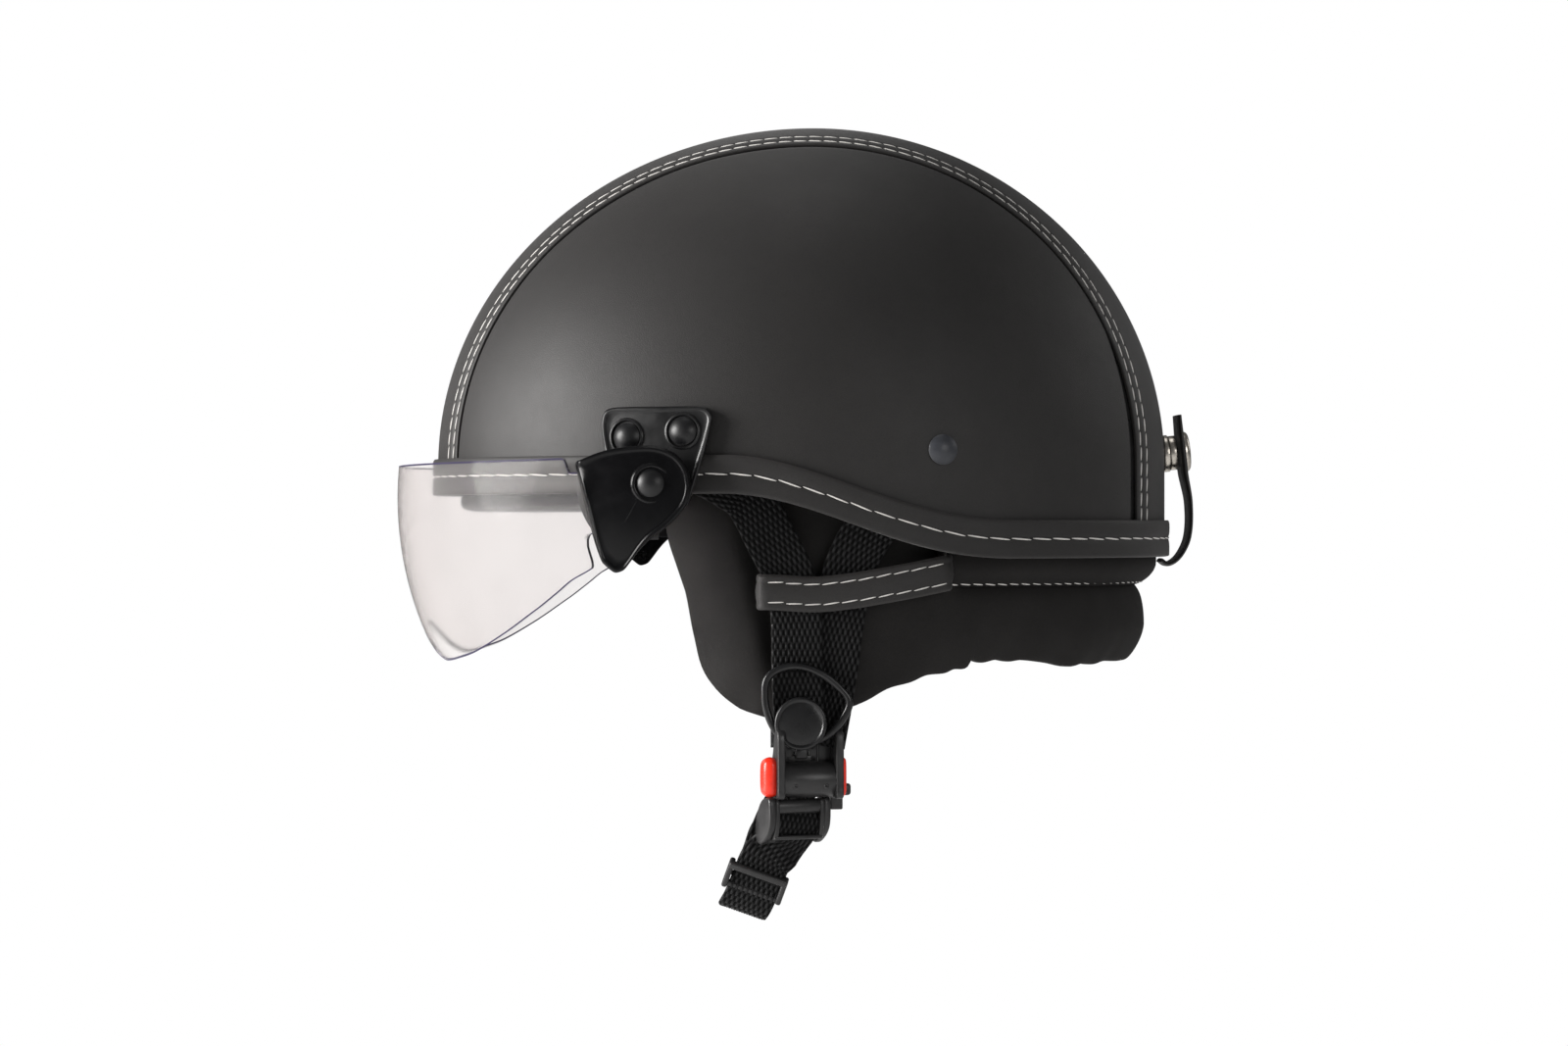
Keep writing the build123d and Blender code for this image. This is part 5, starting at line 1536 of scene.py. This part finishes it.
# The slider's two long bars, middle bar and end bars, as (down, across, out) and size
SLIDER_CENTRE = Vector((97.8, -23.0, -160.0))
SLIDER_BARS = (
    ((-4.2, 0, 1.3), (23.4, 2.7, 3.4)), ((4.2, 0, -0.8), (22.4, 2.4, 2.6)), ((0, 0, -1.4), (22, 2.0, 1.6)),
    ((0, -10.8, -0.4), (2.2, 11.0, 5.4)), ((0, 10.8, -0.4), (2.2, 10.6, 5.0)),
)


class Turned:
    """Directions of a part of the buckle: across it, out of it, and a place in them."""

    def __init__(self, centre, yaw):
        self.centre = centre
        self.along = Vector((-sin(yaw), cos(yaw), 0))
        self.out = Vector((cos(yaw), sin(yaw), 0))
        self.axes = (self.along, self.out, UP)

    def at(self, along, out, height):
        point = self.centre + self.along * along + self.out * out
        return Vector((point.x, point.y, height)) * MM

    def block(self, place, size, rounding):
        return rounded_block("block", self.at(*place), self.axes, size, rounding)

    def cheek(self, outline, start, thickness, rounding):
        """A flat side, cut to an outline of (out, height) points."""
        flat = [(-a, b) for a, b in outline]
        return slab("cheek", flat, self.at(start, 0, 0), self.out * -1, UP, thickness, rounding)

    def button(self, along, long, gap):
        """A rounded button, or with a gap the space that it slides in."""
        block = self.block((along, 0.4, -119.4), (long, 9.2 + 2 * gap, 15.4 + 2 * gap), 3.5)
        apply(block, "SUBSURF", levels=2, render_levels=2)
        return shade(block, 60)


class HELMET_OT_buckle(bpy.types.Operator):
    """Makes the buckle's housing, its tongue with the ladder lock, the buttons and the slider"""
    bl_idname = "helmet.buckle"
    bl_label = "Buckle"

    def execute(self, context):
        buckle = Turned(BUCKLE_CENTRE, BUCKLE_YAW)
        self.housing(buckle)
        for label, along, long in BUTTONS:
            block = buckle.button(along, long, 0)
            block.name = f"release_button_{label}_moulded"
            finish_piece(block, "button", f"button_{label}", f"release_button_{label}")
        self.ladder()
        self.slider()
        return {"FINISHED"}

    def housing(self, buckle):
        parts = [buckle.cheek(CHEEK, -13.1, 2.9, 0.6), buckle.cheek(CHEEK, 9.7, 3.0, 0.6)]
        for cheek, (_, along, long) in zip(parts, BUTTONS):
            window = buckle.button(along, long + 8, BUTTON_GAP)
            apply(cheek, "BOOLEAN", operation="DIFFERENCE", solver="EXACT", object=window)
            bpy.data.objects.remove(window)
            shade(cheek)
        parts.append(turned("rod", BARREL, buckle.at(0, 0, -120.4), buckle.along, 48))
        parts += [buckle.block(*block) for block in HOUSING_BLOCKS]
        parts += [turned("dimple", DIMPLE, buckle.at(spot, 6.45, -122.6), buckle.out, 20)
                  for spot in (-6.2, 5.8)]
        finish_piece(joined("buckle_housing_moulded", parts), "buckle", ROOT, "buckle_housing")

    def ladder(self):
        lock = Turned(LADDER_CENTRE, LADDER_YAW)
        parts = [lock.cheek(*cheek) for cheek in LADDER_CHEEKS]
        parts += [lock.block(*block) for block in LADDER_BLOCKS]
        finish_piece(joined("buckle_tongue_moulded", parts), "buckle", "chin_strap_half", "buckle_tongue")

    def slider(self):
        """The sliding frame that holds the tail."""
        across = Vector(SLIDE_ACROSS)
        out = across.cross(SLIDE_DOWN).normalized()
        down_way = out.cross(across)
        if out.x < 0:
            out = -out
        if down_way.z > 0:
            down_way = -down_way
        bars = []
        for (down, over, lift), size in SLIDER_BARS:
            place = (SLIDER_CENTRE + down_way * down + across * over + out * lift) * MM
            bars.append(rounded_block("bar", place, (across, down_way, out), size, 0.8))
        finish_piece(joined("strap_slider_moulded", bars), "buckle", "slider", "strap_slider")


# The visor's edges as (degrees round from the middle, height in millimetres)
VISOR_TOP = ((0, -0.4), (45, 0.4), (67, 1.2))
VISOR_HEM = (
    (0, -64.3), (4, -65.4), (9, -69.6), (14, -74.6), (18, -76.9), (22, -77.8), (30.3, -76.3), (39.4, -73.1),
    (50.4, -65.7), (59.7, -56.6), (64.9, -50.2), (68.4, -45.3), (71.5, -42.1), (73, -40.4),
)


class HELMET_OT_visor(bpy.types.Operator):
    """Makes the clear visor: notched at the covers, arched over the nose, with polished edges"""
    bl_idname = "helmet.visor"
    bl_label = "Visor"

    def execute(self, context):
        # Degrees round from the middle, closer together at the notch by each cover
        turns = [i * 0.9 for i in range(74)] + [66.6 + i * 0.2 for i in range(1, 42)]
        turns += [75 + i for i in range(1, 15)]
        turns = [-turn for turn in reversed(turns[1:])] + turns
        columns, rows = len(turns) - 1, 46
        line = 0.55

        def place(u, v):
            turn = turns[round(u * columns)]
            away = abs(turn)
            top = read_line(VISOR_TOP, away) - 5.4 * ease(away, 67.3, 68.9)
            low = read_line(VISOR_HEM, away) + 13.0 * ease(away, 72.8, 74.2) + 9.0 * ease(away, 76, 82)
            row = round(v * rows)
            height = low + line + (row - 1) / (rows - 2) * (top - low - 2 * line)
            height = low if row == 0 else top if row == rows else height
            lean = 1.6 * ease(away, 69, 73) * (1 - ease(away, 74.4, 77))
            turn -= (1 if turn > 0 else -1) * lean * ease(height, -41, -30) * (1 - ease(height, -29, -24))
            height *= MM
            inward = sqrt(1 - ((height - VISOR_CENTRE.z) / VISOR_AXES.z) ** 2)
            turn = radians(turn)
            return Vector((VISOR_AXES.x * sin(turn) * inward,
                           VISOR_CENTRE.y - VISOR_AXES.y * cos(turn) * inward, height))

        piece = shaped_grid("visor_clear", columns, rows, place)
        finish_piece(piece, "visor", "visor", "visor_shield")
        for name in ("visor_edge", "visor_painted_edge_shade"):
            piece.data.materials.append(FINISHES[name][0])
        # The rows beside the top edge and the hem take a dark band of painted shade for the dark line of the
        # sheet's edge; the rim between them takes the slot before theirs
        for at, face in enumerate(piece.data.polygons):
            face.material_index = 2 if at // columns in (0, rows - 1) else 0
        apply(piece, "SOLIDIFY", thickness=2.0 * MM, offset=-1, material_offset_rim=-1)
        close_up(piece, fill=False)
        shade(piece)
        return {"FINISHED"}


TAB = (
    (0, 141.3, -38.3), (0, 144.2, -39.9), (0, 149, -36.5), (0, 152.6, -28.5), (0, 153, -15), (0, 150.9, -3.2),
    (0, 150.4, 1.3), (0, 149.9, 5.8), (0, 149.1, 13.2), (0, 148.4, 20.7),
)


class HELMET_OT_goggle_tab(bpy.types.Operator):
    """Makes the leather tab at the rear that snaps over a goggle strap"""
    bl_idname = "helmet.goggle_tab"
    bl_label = "Goggle strap tab"

    def execute(self, context):
        low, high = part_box("goggle_tab")
        route = metres(TAB)
        piece = flat_band("goggle_tab_leather", route, [(1, 0, 0)] * len(route), high.x - low.x, 3.0 * MM,
                          0.6 * MM, 64, self.relief, 6)
        finish_piece(piece, "tab", None, "goggle_tab")
        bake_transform(piece)
        return {"FINISHED"}

    def relief(self, along, over, side):
        """A creased line inside each edge, and leather pared thin away from the snap."""
        crease = bump(abs(over) - 8.6 * MM, 0.5 * MM)
        pared = 1 - bump(along - 50 * MM, 15 * MM)
        return side * -(0.25 * crease + 0.6 * pared) * MM


STEPS = ("stage", "crown_strip", "side_covers", "rim_trim", "skirt", "straps", "keepers", "lining",
         "hardware", "hinge", "yokes", "buckle", "visor", "goggle_tab")


class HELMET_PT_panel(bpy.types.Panel):
    """Lists the helmet's pieces in the sidebar"""
    bl_idname = "HELMET_PT_panel"
    bl_label = "Open face helmet"
    bl_space_type = "VIEW_3D"
    bl_region_type = "UI"
    bl_category = "Helmet"

    def draw(self, context):
        for settings in (context.scene.helmet_sizes, context.scene.helmet_look):
            box = self.layout.box()
            for name in settings.__annotations__:
                box.prop(settings, name)
        for step in STEPS:
            self.layout.operator(f"helmet.{step}")


CLASSES = (
    HelmetSizes, HelmetLook, HELMET_OT_stage, HELMET_OT_crown_strip, HELMET_OT_side_covers,
    HELMET_OT_rim_trim, HELMET_OT_skirt, HELMET_OT_straps, HELMET_OT_keepers, HELMET_OT_lining,
    HELMET_OT_hardware, HELMET_OT_hinge, HELMET_OT_yokes, HELMET_OT_buckle, HELMET_OT_visor,
    HELMET_OT_goggle_tab, HELMET_PT_panel,
)


def register():
    for made in CLASSES:
        bpy.utils.register_class(made)
    bpy.types.Scene.helmet_sizes = bpy.props.PointerProperty(type=HelmetSizes)
    bpy.types.Scene.helmet_look = bpy.props.PointerProperty(type=HelmetLook)


def unregister():
    del bpy.types.Scene.helmet_look
    del bpy.types.Scene.helmet_sizes
    for made in reversed(CLASSES):
        bpy.utils.unregister_class(made)


def main():
    register()
    make_finishes(bpy.context.scene.helmet_look)
    for step in STEPS:
        getattr(bpy.ops.helmet, step)()


if __name__ == "__main__":
    main()
